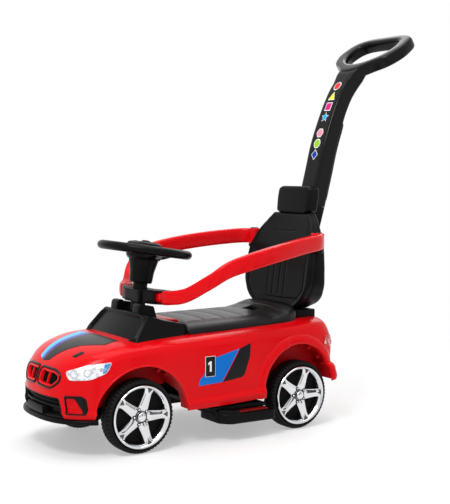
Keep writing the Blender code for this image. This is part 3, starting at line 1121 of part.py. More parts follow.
def chassis(work):
    """Undertray with a bridge over the steering, runners for the footrests, and the rear axle."""
    half = 0.140
    low, high = TRAY_FLOOR, TRAY_FLOOR + TRAY_THICK
    side_view = [(-0.1165, low), (-0.036, low), (-0.024, BRIDGE_UNDER), (0.092, BRIDGE_UNDER), (0.110, low), (WHEELBASE - 0.037, low),
                 (WHEELBASE - 0.025, 0.0790), (WHEELBASE + 0.075, 0.0790)]
    upper = [(y, z + TRAY_THICK) for y, z in side_view[::-1]]
    tray = work.piece("chassis_tray", plate([side_view + upper], 2 * half, (0, 0, 0), (0, 1, 0), (0, 0, 1)), BLACK)
    plan = [(-0.085, -0.1280), (0.085, -0.1280), (0.066, -0.100), (0.066, 0.108), (0.136, 0.112), (0.136, FOOTREST_REAR - 0.016), (0.089, FOOTREST_REAR - 0.006),
            (0.089, WHEELBASE + 0.068), (-0.089, WHEELBASE + 0.068), (-0.089, FOOTREST_REAR - 0.006), (-0.136, FOOTREST_REAR - 0.016), (-0.136, 0.112), (-0.066, 0.108), (-0.066, -0.100)]
    join(tray, work.cutter("tray_plan", plate([plan], 0.2, (0, 0, 0.1), (1, 0, 0), (0, 1, 0))), "INTERSECT")
    runners = []
    for side in SIDES.values():
        for inner, outer in ((FOOTREST_FRONT - 0.0045, FOOTREST_FRONT - 0.0085), (FOOTREST_REAR + 0.0045, FOOTREST_REAR + 0.0085)):
            toward = 0.004 if outer < inner else -0.004
            runners.append(box((side * 0.06, min(inner, outer), 0.0555), (side * 0.134, max(inner, outer), TRAY_FLOOR + 0.001))
                           if side > 0 else
                           box((side * 0.134, min(inner, outer), 0.0555), (side * 0.06, max(inner, outer), TRAY_FLOOR + 0.001)))
            low_x, high_x = sorted((side * 0.06, side * 0.134))
            runners.append(box((low_x, min(inner, inner + toward), 0.0555), (high_x, max(inner, inner + toward), 0.0587)))
    for side in SIDES.values():
        x = side * 0.080
        runners.append(box((x - 0.006, WHEELBASE - 0.010, AXLE_HEIGHT - 0.0095), (x + 0.006, WHEELBASE + 0.010, 0.0800)))
    merged(work, tray, runners)
    cuts = [
        rod(steer_point(-0.33), steer_point(-0.20), SHAFT_RADIUS + RUNNING),
        rod((-0.12, WHEELBASE, AXLE_HEIGHT), (0.12, WHEELBASE, AXLE_HEIGHT), AXLE_RADIUS + GAP),
    ]
    for i, mesh in enumerate(cuts):
        join(tray, work.cutter(f"tray_cut_{i}", mesh))
    reach = WHEEL_X + 0.0120
    work.piece("rear_axle", rod((-reach, WHEELBASE, AXLE_HEIGHT), (reach, WHEELBASE, AXLE_HEIGHT), AXLE_RADIUS), STEEL)


def main():
    """Builds the joints' empties, then every piece."""
    work = Workshop()
    base = work.datum
    steer = work.empty("steering_axis", base, WHEEL_HUB, (-STEER_TILT, 0.0, 0.0))
    horn = work.empty("horn_axis", steer, (0.0, 0.0, 0.0135))
    rod_joint = work.empty("tie_rod_slide", base, (0.0, KNUCKLE_ARM, TIE_ROD_TOP))
    knuckles, rolls = {}, {}
    for name, side in SIDES.items():
        knuckles[name] = work.empty(f"kingpin_{name}", base, (side * KINGPIN_X, 0.0, AXLE_HEIGHT))
        out = side * (WHEEL_X - KINGPIN_X)
        rolls[f"front_{name}"] = work.empty(f"front_hub_{name}", knuckles[name], (out, 0.0, 0.0))
        rolls[f"rear_{name}"] = work.empty(f"rear_hub_{name}", base, (side * WHEEL_X, WHEELBASE, AXLE_HEIGHT))
    rails = {name: work.empty(f"rail_hinge_{name}", base, (side * RAIL_PIN[0], RAIL_PIN[1], RAIL_BOSS_BOTTOM))
             for name, side in SIDES.items()}
    seat = work.empty("seat_hinge", base, (0.0, SEAT_HINGE_Y, SEAT_HINGE_Z))
    feet = {name: work.empty(f"footrest_slide_{name}", base, (side * FOOTREST_IN, FOOTREST_FRONT, FOOTREST_BOTTOM))
            for name, side in SIDES.items()}
    stem = work.empty("handle_slide", base, (0.0, *HANDLE_PATH[0]), (-HANDLE_LEAN, 0.0, 0.0))
    latch = work.empty("handle_latch", stem, (0.0, HANDLE_DEPTH / 2 - HANDLE_WALL, 0.030))

    body_shell(work)
    nose_fittings(work)
    cowl(work)
    deck_patch(work)
    seat_lid(work, seat)
    work.piece("seat_hinge_pin", rod(
        (-0.0560, SEAT_HINGE_Y, SEAT_HINGE_Z), (0.0560, SEAT_HINGE_Y, SEAT_HINGE_Z), HINGE_PIN_RADIUS), STEEL)
    storage_tub(work)
    backrest(work)
    column_and_bracket(work)
    steering(work, steer, horn)
    front_axle(work, rod_joint, knuckles)
    wheels(work, rolls)
    guards(work, rails)
    footrests(work, feet)
    push_handle(work, stem, latch)
    chassis(work)


main()
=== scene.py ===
"""Looks of the foot-to-floor ride-on car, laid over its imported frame.

Lengths are metres. Shapes are worked out with X to the car's left, Y to its rear from the front
axle and Z up. Each piece moves ORIGIN_Y forward when its mesh is made, which is the frame's place.
"""

from __future__ import annotations

import json
import logging
import math
from dataclasses import dataclass, field
from enum import Enum

import bmesh
import bpy
import numpy as np
from mathutils import Matrix, Vector

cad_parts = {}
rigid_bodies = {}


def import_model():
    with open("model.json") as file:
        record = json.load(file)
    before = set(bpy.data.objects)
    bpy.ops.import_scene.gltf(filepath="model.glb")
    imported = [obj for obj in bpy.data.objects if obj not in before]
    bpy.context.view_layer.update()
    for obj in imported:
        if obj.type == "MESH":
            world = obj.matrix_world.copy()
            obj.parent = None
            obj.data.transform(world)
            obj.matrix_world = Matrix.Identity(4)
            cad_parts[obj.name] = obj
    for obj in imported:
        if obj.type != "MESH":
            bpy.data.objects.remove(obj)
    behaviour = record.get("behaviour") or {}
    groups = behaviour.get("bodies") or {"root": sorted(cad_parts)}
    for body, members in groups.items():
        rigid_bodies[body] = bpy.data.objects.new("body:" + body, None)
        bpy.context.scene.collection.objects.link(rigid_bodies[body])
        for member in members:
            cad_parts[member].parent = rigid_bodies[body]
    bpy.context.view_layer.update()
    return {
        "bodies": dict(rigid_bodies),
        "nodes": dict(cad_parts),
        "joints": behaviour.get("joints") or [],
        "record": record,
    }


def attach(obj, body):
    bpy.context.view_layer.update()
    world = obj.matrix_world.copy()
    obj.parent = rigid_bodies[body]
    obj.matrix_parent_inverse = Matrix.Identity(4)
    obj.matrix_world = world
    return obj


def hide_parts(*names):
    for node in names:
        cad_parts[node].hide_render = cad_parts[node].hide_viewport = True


LOG = logging.getLogger("ride_on_car")
Array = np.ndarray
Outline = tuple[tuple[float, float], ...]
Levels = tuple[tuple[float, float], ...]
ORIGIN_Y = 0.292044
UP = np.array([0.0, 0.0, 1.0])
SIDEWAYS = np.array([1.0, 0.0, 0.0])
LEVEL = ((0, 0, 0), (1, 0, 0), (0, 1, 0), (0, 0, 1))
WHEELBASE, AXLE_HEIGHT = 0.387, 0.072044
BLOCK_CORNER, SKIN_CORNER = 0.0003, 0.0004
RAIL_PIN = (0.1158, 0.4486)
STEM_FOOT = (0.5242, 0.4716)
POST_LEAN = math.radians(13.5)
STEERING_LEAN = math.radians(8.5)
STEERING_HUB = (0.0, 0.086, 0.383)
STEERING_AXES = ((1, 0, 0), (0, math.cos(STEERING_LEAN), -math.sin(STEERING_LEAN)),
                 (0, math.sin(STEERING_LEAN), math.cos(STEERING_LEAN)))


class Side(Enum):
    """The car's two sides, as the sign of X."""

    LEFT = 1
    RIGHT = -1

    @property
    def word(self) -> str:
        """The side's name as the frame writes it."""
        return self.name.lower()


class Texture(Enum):
    """What a finish shows close up."""

    ORANGE_PEEL = "faint waves of a blow-moulded skin"
    MOULD_GRAIN = "fine pits of a textured mould"
    HIDE = "fine creases of a leather-like sheet"
    BRUSHED = "drawn lines along a bar"
    FACETS = "small mirror facets under a clear skin"
    SMOOTH = "plain vinyl or plating"


@dataclass(frozen=True)
class Finish:
    """A surface: its colour, how rough, metallic, shiny, worn and textured it is, and the record's slot."""

    name: str
    colour: tuple[float, float, float]
    roughness: float
    texture: Texture = Texture.SMOOTH
    metallic: float = 0.0
    coat: float = 0.0
    relief: float = 0.2
    mottle: float = 0.08
    spread: float = 0.06
    second: tuple[float, float, float] | None = None
    shine: float = 0.2
    wear: float = 0.1
    slot: str = "black_plastic"


RED = Finish("red_gloss", (0.66, 0.0008, 0.004), 0.22, Texture.ORANGE_PEEL, relief=0.05, mottle=0.05, shine=0.13,
             slot="red_plastic")
# Red of the wheel wells: rougher than the skin, and painted darker as shade inside the arches.
RED_INNER_PAINTED_SHADE = Finish("red_unpolished", (0.46, 0.001, 0.004), 0.45, Texture.ORANGE_PEEL, relief=0.15, mottle=0.1,
                   shine=0.12, wear=0.0, slot="red_plastic")
RED_RIB = Finish("red_anti_slip", (0.26, 0.006, 0.006), 0.4, Texture.MOULD_GRAIN, relief=0.25, shine=0.15,
                 slot="red_plastic")
BLACK = Finish("black_satin", (0.0027, 0.0027, 0.003), 0.32, Texture.MOULD_GRAIN, relief=0.12, mottle=0.14,
               shine=0.085)
BLACK_GLOSS = Finish("black_gloss", (0.0034, 0.0034, 0.0038), 0.2, Texture.ORANGE_PEEL, relief=0.06, shine=0.15)
BLACK_DEEP = Finish("black_undertray", (0.0045, 0.0045, 0.0045), 0.6, Texture.MOULD_GRAIN, relief=0.3, mottle=0.2,
                    shine=0.08)
SEAT = Finish("seat_hide", (0.0052, 0.0047, 0.0046), 0.3, Texture.HIDE, relief=0.18, mottle=0.18, shine=0.2,
              slot="seat_plastic")
TYRE = Finish("tyre_black", (0.0048, 0.0048, 0.0052), 0.6, Texture.MOULD_GRAIN, relief=0.4, mottle=0.22, shine=0.1,
              wear=0.3, slot="tyre_plastic")
CHROME = Finish("chrome_plating", (0.7, 0.71, 0.73), 0.12, Texture.ORANGE_PEEL, metallic=1.0, relief=0.1, spread=0.05,
                wear=0.04, slot="chrome_plating")
# Plating painted dark as shade, for the recesses of the wheel covers.
CHROME_PAINTED_SHADE = Finish("chrome_shade", (0.1, 0.1, 0.11), 0.25, Texture.ORANGE_PEEL, metallic=1.0, relief=0.15,
                     wear=0.04, slot="chrome_plating")
LAMP = Finish("lamp_silver", (0.8, 0.82, 0.85), 0.12, Texture.FACETS, coat=0.3, second=(0.36, 0.37, 0.41), wear=0.02,
              slot="lamp")
LAMP_RING = Finish("lamp_reflector", (0.52, 0.53, 0.57), 0.18, Texture.FACETS, metallic=0.5, coat=0.3,
                   second=(0.7, 0.71, 0.75), wear=0.02, slot="lamp")
LAMP_BLUE = Finish("lamp_blue", (0.03, 0.2, 0.46), 0.15, Texture.FACETS, coat=0.3, second=(0.3, 0.48, 0.7), wear=0.02,
                   slot="lamp")
TAIL_LAMP = Finish("tail_lamp_red", (0.48, 0.01, 0.014), 0.15, Texture.FACETS, coat=0.3, second=(0.8, 0.5, 0.5),
                   wear=0.02, slot="tail_lamp")
STEEL = Finish("drawn_steel", (0.5, 0.5, 0.51), 0.3, Texture.BRUSHED, metallic=1.0, relief=0.15, wear=0.05)
VINYL_BLACK = Finish("vinyl_black", (0.004, 0.004, 0.0044), 0.3, relief=0.03, mottle=0.05, shine=0.2, wear=0.02)
VINYL_WHITE = Finish("vinyl_white", (0.8, 0.8, 0.8), 0.35, mottle=0.03, wear=0.02)
VINYL_BLUE = Finish("vinyl_blue", (0.0006, 0.15, 0.56), 0.32, mottle=0.04, shine=0.12, wear=0.02)
VINYL_SKY = Finish("vinyl_sky", (0.1, 0.48, 0.84), 0.3, mottle=0.04, wear=0.02)
VINYL_VIOLET = Finish("vinyl_violet", (0.075, 0.075, 0.4), 0.3, mottle=0.04, wear=0.02)
STICKERS = tuple(
    Finish(f"sticker_{name}", colour, 0.35, mottle=0.03, shine=0.15, wear=0.02)
    for name, colour in (
        ("red", (0.6, 0.02, 0.03)), ("yellow", (0.9, 0.76, 0.03)), ("magenta", (0.6, 0.002, 0.2)),
        ("cyan", (0.01, 0.36, 0.72)), ("pink", (0.87, 0.27, 0.37)), ("green", (0.29, 0.57, 0.018)),
        ("navy", (0.005, 0.04, 0.34)),
    )
)


def feed(tree: bpy.types.NodeTree, node: bpy.types.Node, values: dict[str | int, object]) -> bpy.types.Node:
    """Links a socket or sets a value at each named input of a node.

    Args:
        tree: the node's tree.
        node: whose inputs they are.
        values: for each input, a socket to link or a value to set.

    Returns:
        The node.
    """
    for key, value in values.items():
        if isinstance(value, bpy.types.NodeSocket):
            tree.links.new(value, node.inputs[key])
        else:
            node.inputs[key].default_value = value
    return node


def wire(tree: bpy.types.NodeTree, kind: str, values: dict[str | int, object] | None = None,
         **settings: object) -> bpy.types.Node:
    """Adds a node to a tree.

    Args:
        tree: where the node goes.
        kind: its type, without ShaderNode in front.
        values: for each input, a socket to link or a value to set.
        settings: attributes of the node, set before its inputs are looked up.

    Returns:
        The node.
    """
    node = tree.nodes.new(f"ShaderNode{kind}")
    for key, value in settings.items():
        setattr(node, key, value)
    return feed(tree, node, values or {})


class Effects:
    """The shared shader node groups, each built once: cloudy colour, uneven gloss, edge wear, cells and grain."""

    def __init__(self) -> None:
        self.made: dict[str, bpy.types.NodeTree] = {}

    def use(self, tree: bpy.types.NodeTree, name: str, values: dict[str, object]) -> bpy.types.Node:
        """Places a group in a material.

        Args:
            tree: the material's nodes.
            name: which effect.
            values: for each named input, a socket to link or a value to set.

        Returns:
            The group's node.
        """
        if name not in self.made:
            self.made[name] = getattr(self, f"_{name}")()
        return wire(tree, "Group", values, node_tree=self.made[name])

    @staticmethod
    def _group(name: str, inputs: dict[str, str],
               outputs: dict[str, str]) -> tuple[bpy.types.NodeTree, bpy.types.NodeOutputs, bpy.types.Node]:
        """Makes an empty group with named sockets.

        Args:
            name: the group's name.
            inputs: kind of each input.
            outputs: kind of each output.

        Returns:
            The group's tree, the sockets that it is given and its output node.
        """
        tree = bpy.data.node_groups.new(name, "ShaderNodeTree")
        for way, sockets in (("INPUT", inputs), ("OUTPUT", outputs)):
            for key, kind in sockets.items():
                tree.interface.new_socket(name=key, in_out=way, socket_type=f"NodeSocket{kind}")
        return tree, tree.nodes.new("NodeGroupInput").outputs, tree.nodes.new("NodeGroupOutput")

    @staticmethod
    def _noise(tree: bpy.types.NodeTree, place: bpy.types.NodeSocket, scale: bpy.types.NodeSocket | float,
               detail: float) -> bpy.types.NodeSocket:
        """A noise value whose features are about 1/scale metres."""
        return wire(tree, "TexNoise", {"Detail": detail, "Vector": place, "Scale": scale}).outputs["Fac"]

    @staticmethod
    def blend(tree: bpy.types.NodeTree, factor: bpy.types.NodeSocket, first: object,
              second: object) -> bpy.types.NodeSocket:
        """Two colours mixed by a factor."""
        return wire(tree, "Mix", {"Factor": factor, "A": first, "B": second}, data_type="RGBA").outputs["Result"]

    def _mottle(self) -> bpy.types.NodeTree:
        """Colour that drifts between two values in soft clouds.

        Returns:
            The group's tree.
        """
        tree, given, out = self._group(
            "mottle", {"Place": "Vector", "Scale": "Float", "Dark": "Color", "Light": "Color"}, {"Colour": "Color"})
        cloud = self._noise(tree, given["Place"], given["Scale"], 3.0)
        feed(tree, out, {"Colour": self.blend(tree, cloud, given["Dark"], given["Light"])})
        return tree

    def _gloss(self) -> bpy.types.NodeTree:
        """Roughness between two values, handled smoother in patches.

        Returns:
            The group's tree.
        """
        tree, given, out = self._group(
            "gloss", {"Place": "Vector", "Scale": "Float", "Low": "Float", "High": "Float"}, {"Roughness": "Float"})
        patch = self._noise(tree, given["Place"], given["Scale"], 4.0)
        between = wire(tree, "MapRange", {"Value": patch, "To Min": given["Low"], "To Max": given["High"]})
        feed(tree, out, {"Roughness": between.outputs["Result"]})
        return tree

    def _wear(self) -> bpy.types.NodeTree:
        """Rubbed convex edges: pointiness above flat, broken up by noise, mixes in the rubbed colour.

        Returns:
            The group's tree.
        """
        tree, given, out = self._group(
            "wear", {"Place": "Vector", "Colour": "Color", "Rubbed": "Color", "Amount": "Float"},
            {"Colour": "Color", "Mask": "Float"})
        pointed = wire(tree, "NewGeometry").outputs["Pointiness"]
        value = wire(tree, "MapRange", {"From Min": 0.515, "From Max": 0.6, "Value": pointed}).outputs["Result"]
        for factor in (self._noise(tree, given["Place"], 160.0, 4.0), given["Amount"]):
            product = wire(tree, "Math", {0: value, 1: factor}, operation="MULTIPLY", use_clamp=True)
            value = product.outputs["Value"]
        feed(tree, out, {"Colour": self.blend(tree, value, given["Colour"], given["Rubbed"]), "Mask": value})
        return tree

    def _cells(self) -> bpy.types.NodeTree:
        """A Voronoi pattern: a mask that differs from cell to cell, and a height from each cell's middle.

        Returns:
            The group's tree.
        """
        tree, given, out = self._group(
            "cells", {"Place": "Vector", "Scale": "Float"}, {"Mask": "Float", "Height": "Float"})
        cells = wire(tree, "TexVoronoi", {"Vector": given["Place"], "Scale": given["Scale"]})
        split = wire(tree, "MapRange", {"From Min": 0.55, "From Max": 0.95, "Value": cells.outputs["Color"]})
        feed(tree, out, {"Mask": split.outputs["Result"], "Height": cells.outputs["Distance"]})
        return tree

    def _grain(self) -> bpy.types.NodeTree:
        """Height of a fine noise, drawn out along X by the stretch.

        Returns:
            The group's tree.
        """
        tree, given, out = self._group(
            "grain", {"Place": "Vector", "Scale": "Float", "Stretch": "Vector"}, {"Height": "Float"})
        drawn = wire(tree, "VectorMath", {0: given["Place"], 1: given["Stretch"]}, operation="MULTIPLY")
        feed(tree, out, {"Height": self._noise(tree, drawn.outputs["Vector"], given["Scale"], 2.0)})
        return tree


class Paintshop:
    """Makes one node material for each finish and keeps it."""

    relief = {
        Texture.ORANGE_PEEL: (120.0, 0.00012), Texture.MOULD_GRAIN: (1300.0, 0.0001), Texture.HIDE: (520.0, 0.00018),
        Texture.BRUSHED: (1200.0, 0.00005), Texture.FACETS: (190.0, 0.0004), Texture.SMOOTH: (60.0, 0.00005),
    }

    def __init__(self) -> None:
        self.made: dict[str, bpy.types.Material] = {}
        self.effects = Effects()

    def material(self, finish: Finish) -> bpy.types.Material:
        """The node material of a finish.

        Args:
            finish: the surface wanted.

        Returns:
            The material, made on the first call.
        """
        if finish.name not in self.made:
            self.made[finish.name] = self._mix(finish)
        return self.made[finish.name]

    def _mix(self, finish: Finish) -> bpy.types.Material:
        """Places the effects on Object coordinates and leads them to the shader's colour, roughness and normal.

        Args:
            finish: the surface wanted.

        Returns:
            The new material.
        """
        made = bpy.data.materials.new(finish.name)
        made.use_nodes = True
        made.diffuse_color = (*finish.colour, 1.0)
        tree = made.node_tree
        place = wire(tree, "TexCoord").outputs["Object"]
        scale, depth = self.relief[finish.texture]
        dark, light = ((*(min(1.0, c * (1.0 + sign * finish.mottle)) for c in finish.colour), 1.0)
                       for sign in (-1, 1))
        clouds = {"Place": place, "Scale": 26.0, "Dark": dark, "Light": light}
        colour = self.effects.use(tree, "mottle", clouds).outputs["Colour"]
        if finish.texture in (Texture.HIDE, Texture.FACETS):
            cells = self.effects.use(tree, "cells", {"Place": place, "Scale": scale})
            height = cells.outputs["Height"]
            if finish.second is not None:
                colour = self.effects.blend(tree, cells.outputs["Mask"], colour, (*finish.second, 1.0))
        else:
            stretch = (0.05, 1.0, 1.0) if finish.texture is Texture.BRUSHED else (1.0, 1.0, 1.0)
            fine = {"Place": place, "Scale": scale, "Stretch": stretch}
            height = self.effects.use(tree, "grain", fine).outputs["Height"]
        rubbed = (*(min(1.0, 0.75 * c + 0.1) for c in finish.colour), 1.0)
        worn = self.effects.use(
            tree, "wear", {"Place": place, "Colour": colour, "Rubbed": rubbed, "Amount": finish.wear})
        low, high = max(0.02, finish.roughness - finish.spread), finish.roughness + finish.spread
        gloss = self.effects.use(tree, "gloss", {"Place": place, "Scale": 75.0, "Low": low, "High": high})
        bump = wire(tree, "Bump", {"Strength": finish.relief, "Distance": depth, "Height": height})
        feed(tree, tree.nodes["Principled BSDF"], {
            "Metallic": finish.metallic, "Coat Weight": finish.coat, "Coat Roughness": 0.08,
            "Specular IOR Level": finish.shine if finish.metallic == 0.0 else 0.5,
            "Base Color": worn.outputs["Colour"], "Roughness": gloss.outputs["Roughness"],
            "Normal": bump.outputs["Normal"],
        })
        return made


SHOP = Paintshop()


def smooth(x: Array, low: float, high: float) -> Array:
    """A soft step: 0 below low, 1 above high, 3t^2 - 2t^3 between."""
    t = np.clip((x - low) / (high - low), 0.0, 1.0)
    return t * t * (3.0 - 2.0 * t)


def ridge(x: Array, middle: float, width: float) -> Array:
    """A bell of height 1: exp of minus the squared distance over the squared width."""
    return np.exp(-(((x - middle) / width) ** 2))


def blurred(x: Array, xs: Array, ys: Array, width: Array | float) -> Array:
    """Linear interpolation averaged over a window: the mean of interp(x + k) for k from -width to width."""
    return np.mean([np.interp(x + width * k, xs, ys) for k in np.linspace(-1.0, 1.0, 9)], axis=0)


def flowing(points: Array, count: int) -> Array:
    """A Catmull-Rom curve through points.

    Args:
        points: what it runs through.
        count: how many even parameters it is read at.

    Returns:
        The curve's points.
    """
    given = np.asarray(points, float)
    padded = np.vstack([2 * given[0] - given[1], given, 2 * given[-1] - given[-2]])
    along = np.linspace(0, len(given) - 1, count)
    i = np.minimum(along.astype(int), len(given) - 2)
    t = (along - i)[:, None]
    a, b, c, d = padded[i], padded[i + 1], padded[i + 2], padded[i + 3]
    return 0.5 * (2 * b + (c - a) * t + (2 * a - 5 * b + 4 * c - d) * t ** 2 + (3 * b - a - 3 * c + d) * t ** 3)


def moved_in(corners: Outline | Array, by: float) -> Array:
    """A polygon with every edge moved, each corner going along the sum of its edges' normals.

    Args:
        corners: the polygon, in either direction.
        by: how far in, or out if it is negative.

    Returns:
        The new corners.
    """
    here = np.asarray(corners, float)
    after, before = np.roll(here, -1, axis=0), np.roll(here, 1, axis=0)
    turn = 1.0 if np.sum(here[:, 0] * after[:, 1] - after[:, 0] * here[:, 1]) > 0 else -1.0
    one = (here - before) / np.linalg.norm(here - before, axis=1)[:, None]
    two = (after - here) / np.linalg.norm(after - here, axis=1)[:, None]
    left = turn * np.stack([-one[:, 1], one[:, 0]], 1)
    right = turn * np.stack([-two[:, 1], two[:, 0]], 1)
    return here + by * (left + right) / (1.0 + np.sum(left * right, axis=1))[:, None]


def ring_of(corners: Outline | Array, radius: float, arc: int = 5, straight: int = 6) -> Array:
    """A polygon as points: a quadratic curve at each corner and even steps along each edge.

    Args:
        corners: the polygon.
        radius: how far each corner's curve reaches back along its edges.
        arc: points on a corner.
        straight: points between two corners.

    Returns:
        An (n, 2) array that keeps its order for any radius, so that rings of one polygon can be joined.
    """
    here = np.asarray(corners, float)
    back, ahead = np.roll(here, 1, axis=0) - here, np.roll(here, -1, axis=0) - here
    back_length, ahead_length = np.linalg.norm(back, axis=1), np.linalg.norm(ahead, axis=1)
    reach = np.minimum(radius, 0.45 * np.minimum(back_length, ahead_length))[:, None]
    start, end = here + back / back_length[:, None] * reach, here + ahead / ahead_length[:, None] * reach
    t = np.linspace(0.0, 1.0, arc)[None, :, None]
    curve = (1 - t) ** 2 * start[:, None] + 2 * t * (1 - t) * here[:, None] + t ** 2 * end[:, None]
    u = np.linspace(0.0, 1.0, straight + 2)[None, 1:-1, None]
    edge = end[:, None] * (1 - u) + np.roll(start, -1, axis=0)[:, None] * u
    return np.concatenate([curve, edge], axis=1).reshape(-1, 2)


def turned(profile: Outline | Array, steps: int = 48) -> Array:
    """A profile turned round Z: radius times cos and sin of the angle, height kept.

    Args:
        profile: points of (radius, height).
        steps: how many angles.

    Returns:
        A grid of the profile's points by the angles.
    """
    radius, height = np.asarray(profile, float).T
    angle = np.arange(steps) * math.tau / steps
    return np.stack([radius[:, None] * np.cos(angle), radius[:, None] * np.sin(angle),
                     np.broadcast_to(height[:, None], (len(radius), steps))], -1)


def softened(profile: Outline, radius: float, arc: int = 4) -> Array:
    """An open profile with its inner corners rounded by quadratic curves.

    Args:
        profile: its points.
        radius: how far each curve reaches back.
        arc: points on a curve.

    Returns:
        The rounded profile.
    """
    points = np.asarray(profile, float)
    inner = ring_of(points, radius, arc, 0).reshape(len(points), arc, 2)
    return np.vstack([points[:1], inner[1:-1].reshape(-1, 2), points[-1:]])


def carried(path: Array, section: Array, scale: Array | None = None, upright: Array | None = None) -> Array:
    """A section carried along a path.

    Each point is the path's point plus u times the level direction square to the path plus v times
    the direction square to both, so the section never twists.

    Args:
        path: (n, 3) points.
        section: (m, 2) points of one section, as (u, v).
        scale: (n, 2) factors for u and v along the path.
        upright: direction that v follows instead, for sections that stay upright.

    Returns:
        An (n, m, 3) grid.
    """
    ahead = np.gradient(path, axis=0)
    ahead /= np.linalg.norm(ahead, axis=1)[:, None]
    level = np.cross(ahead, UP)
    level /= np.linalg.norm(level, axis=1)[:, None]
    rise = np.cross(level, ahead) if upright is None else np.broadcast_to(upright, path.shape)
    size = np.ones((len(path), 2)) if scale is None else scale
    return (path[:, None] + (section[None, :, :1] * size[:, None, :1]) * level[:, None]
            + (section[None, :, 1:] * size[:, None, 1:]) * rise[:, None])


def oval(half_u: float, half_v: float, power: float, count: int) -> Array:
    """A superellipse: u and v are cos and sin to the power 2/power, with their signs.

    Args:
        half_u: half of its breadth.
        half_v: half of its height.
        power: 2 for an ellipse, more for a squarer form.
        count: how many points.

    Returns:
        The points of (u, v).
    """
    angle = np.arange(count) * math.tau / count
    u, v = np.cos(angle), np.sin(angle)
    return np.stack([half_u * np.sign(u) * np.abs(u) ** (2 / power), half_v * np.sign(v) * np.abs(v) ** (2 / power)],
                    1)


def set_at(points: Array, origin: Array, x: Array, y: Array, z: Array) -> Array:
    """Points measured along three axes from an origin, as places on the car."""
    x, y, z = np.asarray(x), np.asarray(y), np.asarray(z)
    return np.asarray(origin) + points[..., :1] * x + points[..., 1:2] * y + points[..., 2:] * z


def other_side(points: Array, side: Side) -> Array:
    """Points of the left side, or their mirror image in X = 0."""
    return points * np.array([side.value, 1.0, 1.0])


def oblong(left: float, right: float, low: float, high: float) -> Outline:
    """The corners of a rectangle, round from the lower left."""
    return ((left, low), (right, low), (right, high), (left, high))


def middled(half_u: float, half_v: float) -> Outline:
    """The corners of a rectangle round the origin."""
    return oblong(-half_u, half_u, -half_v, half_v)


def raised(ring: Array, *heights: float) -> Array:
    """A flat ring at each of the heights."""
    return np.array([np.column_stack([ring, np.full(len(ring), height)]) for height in heights])


def leaning(section: Array, middles: Array) -> Array:
    """A section at each middle of (y, z): u runs across the car and v lies square to the leaning post."""
    across, down = math.cos(POST_LEAN), math.sin(POST_LEAN)
    return np.stack([np.broadcast_to(section[None, :, 0], (len(middles), len(section))),
                     middles[:, :1] + section[None, :, 1] * across, middles[:, 1:] - section[None, :, 1] * down], -1)


def added(name: str, data: bpy.types.ID | None) -> bpy.types.Object:
    """Puts a new object in the scene.

    Args:
        name: its name.
        data: its mesh, light or camera.

    Returns:
        The object.
    """
    made = bpy.data.objects.new(name, data)
    bpy.context.scene.collection.objects.link(made)
    return made


def weld(mesh: bpy.types.Mesh, near: float) -> None:
    """Joins near points, drops empty faces and turns the rest outwards.

    Args:
        mesh: what is welded.
        near: points nearer than this become one.
    """
    work = bmesh.new()
    work.from_mesh(mesh)
    bmesh.ops.remove_doubles(work, verts=work.verts, dist=near)
    bmesh.ops.dissolve_degenerate(work, dist=1e-7, edges=work.edges[:])
    bmesh.ops.recalc_face_normals(work, faces=work.faces)
    work.to_mesh(mesh)
    work.free()


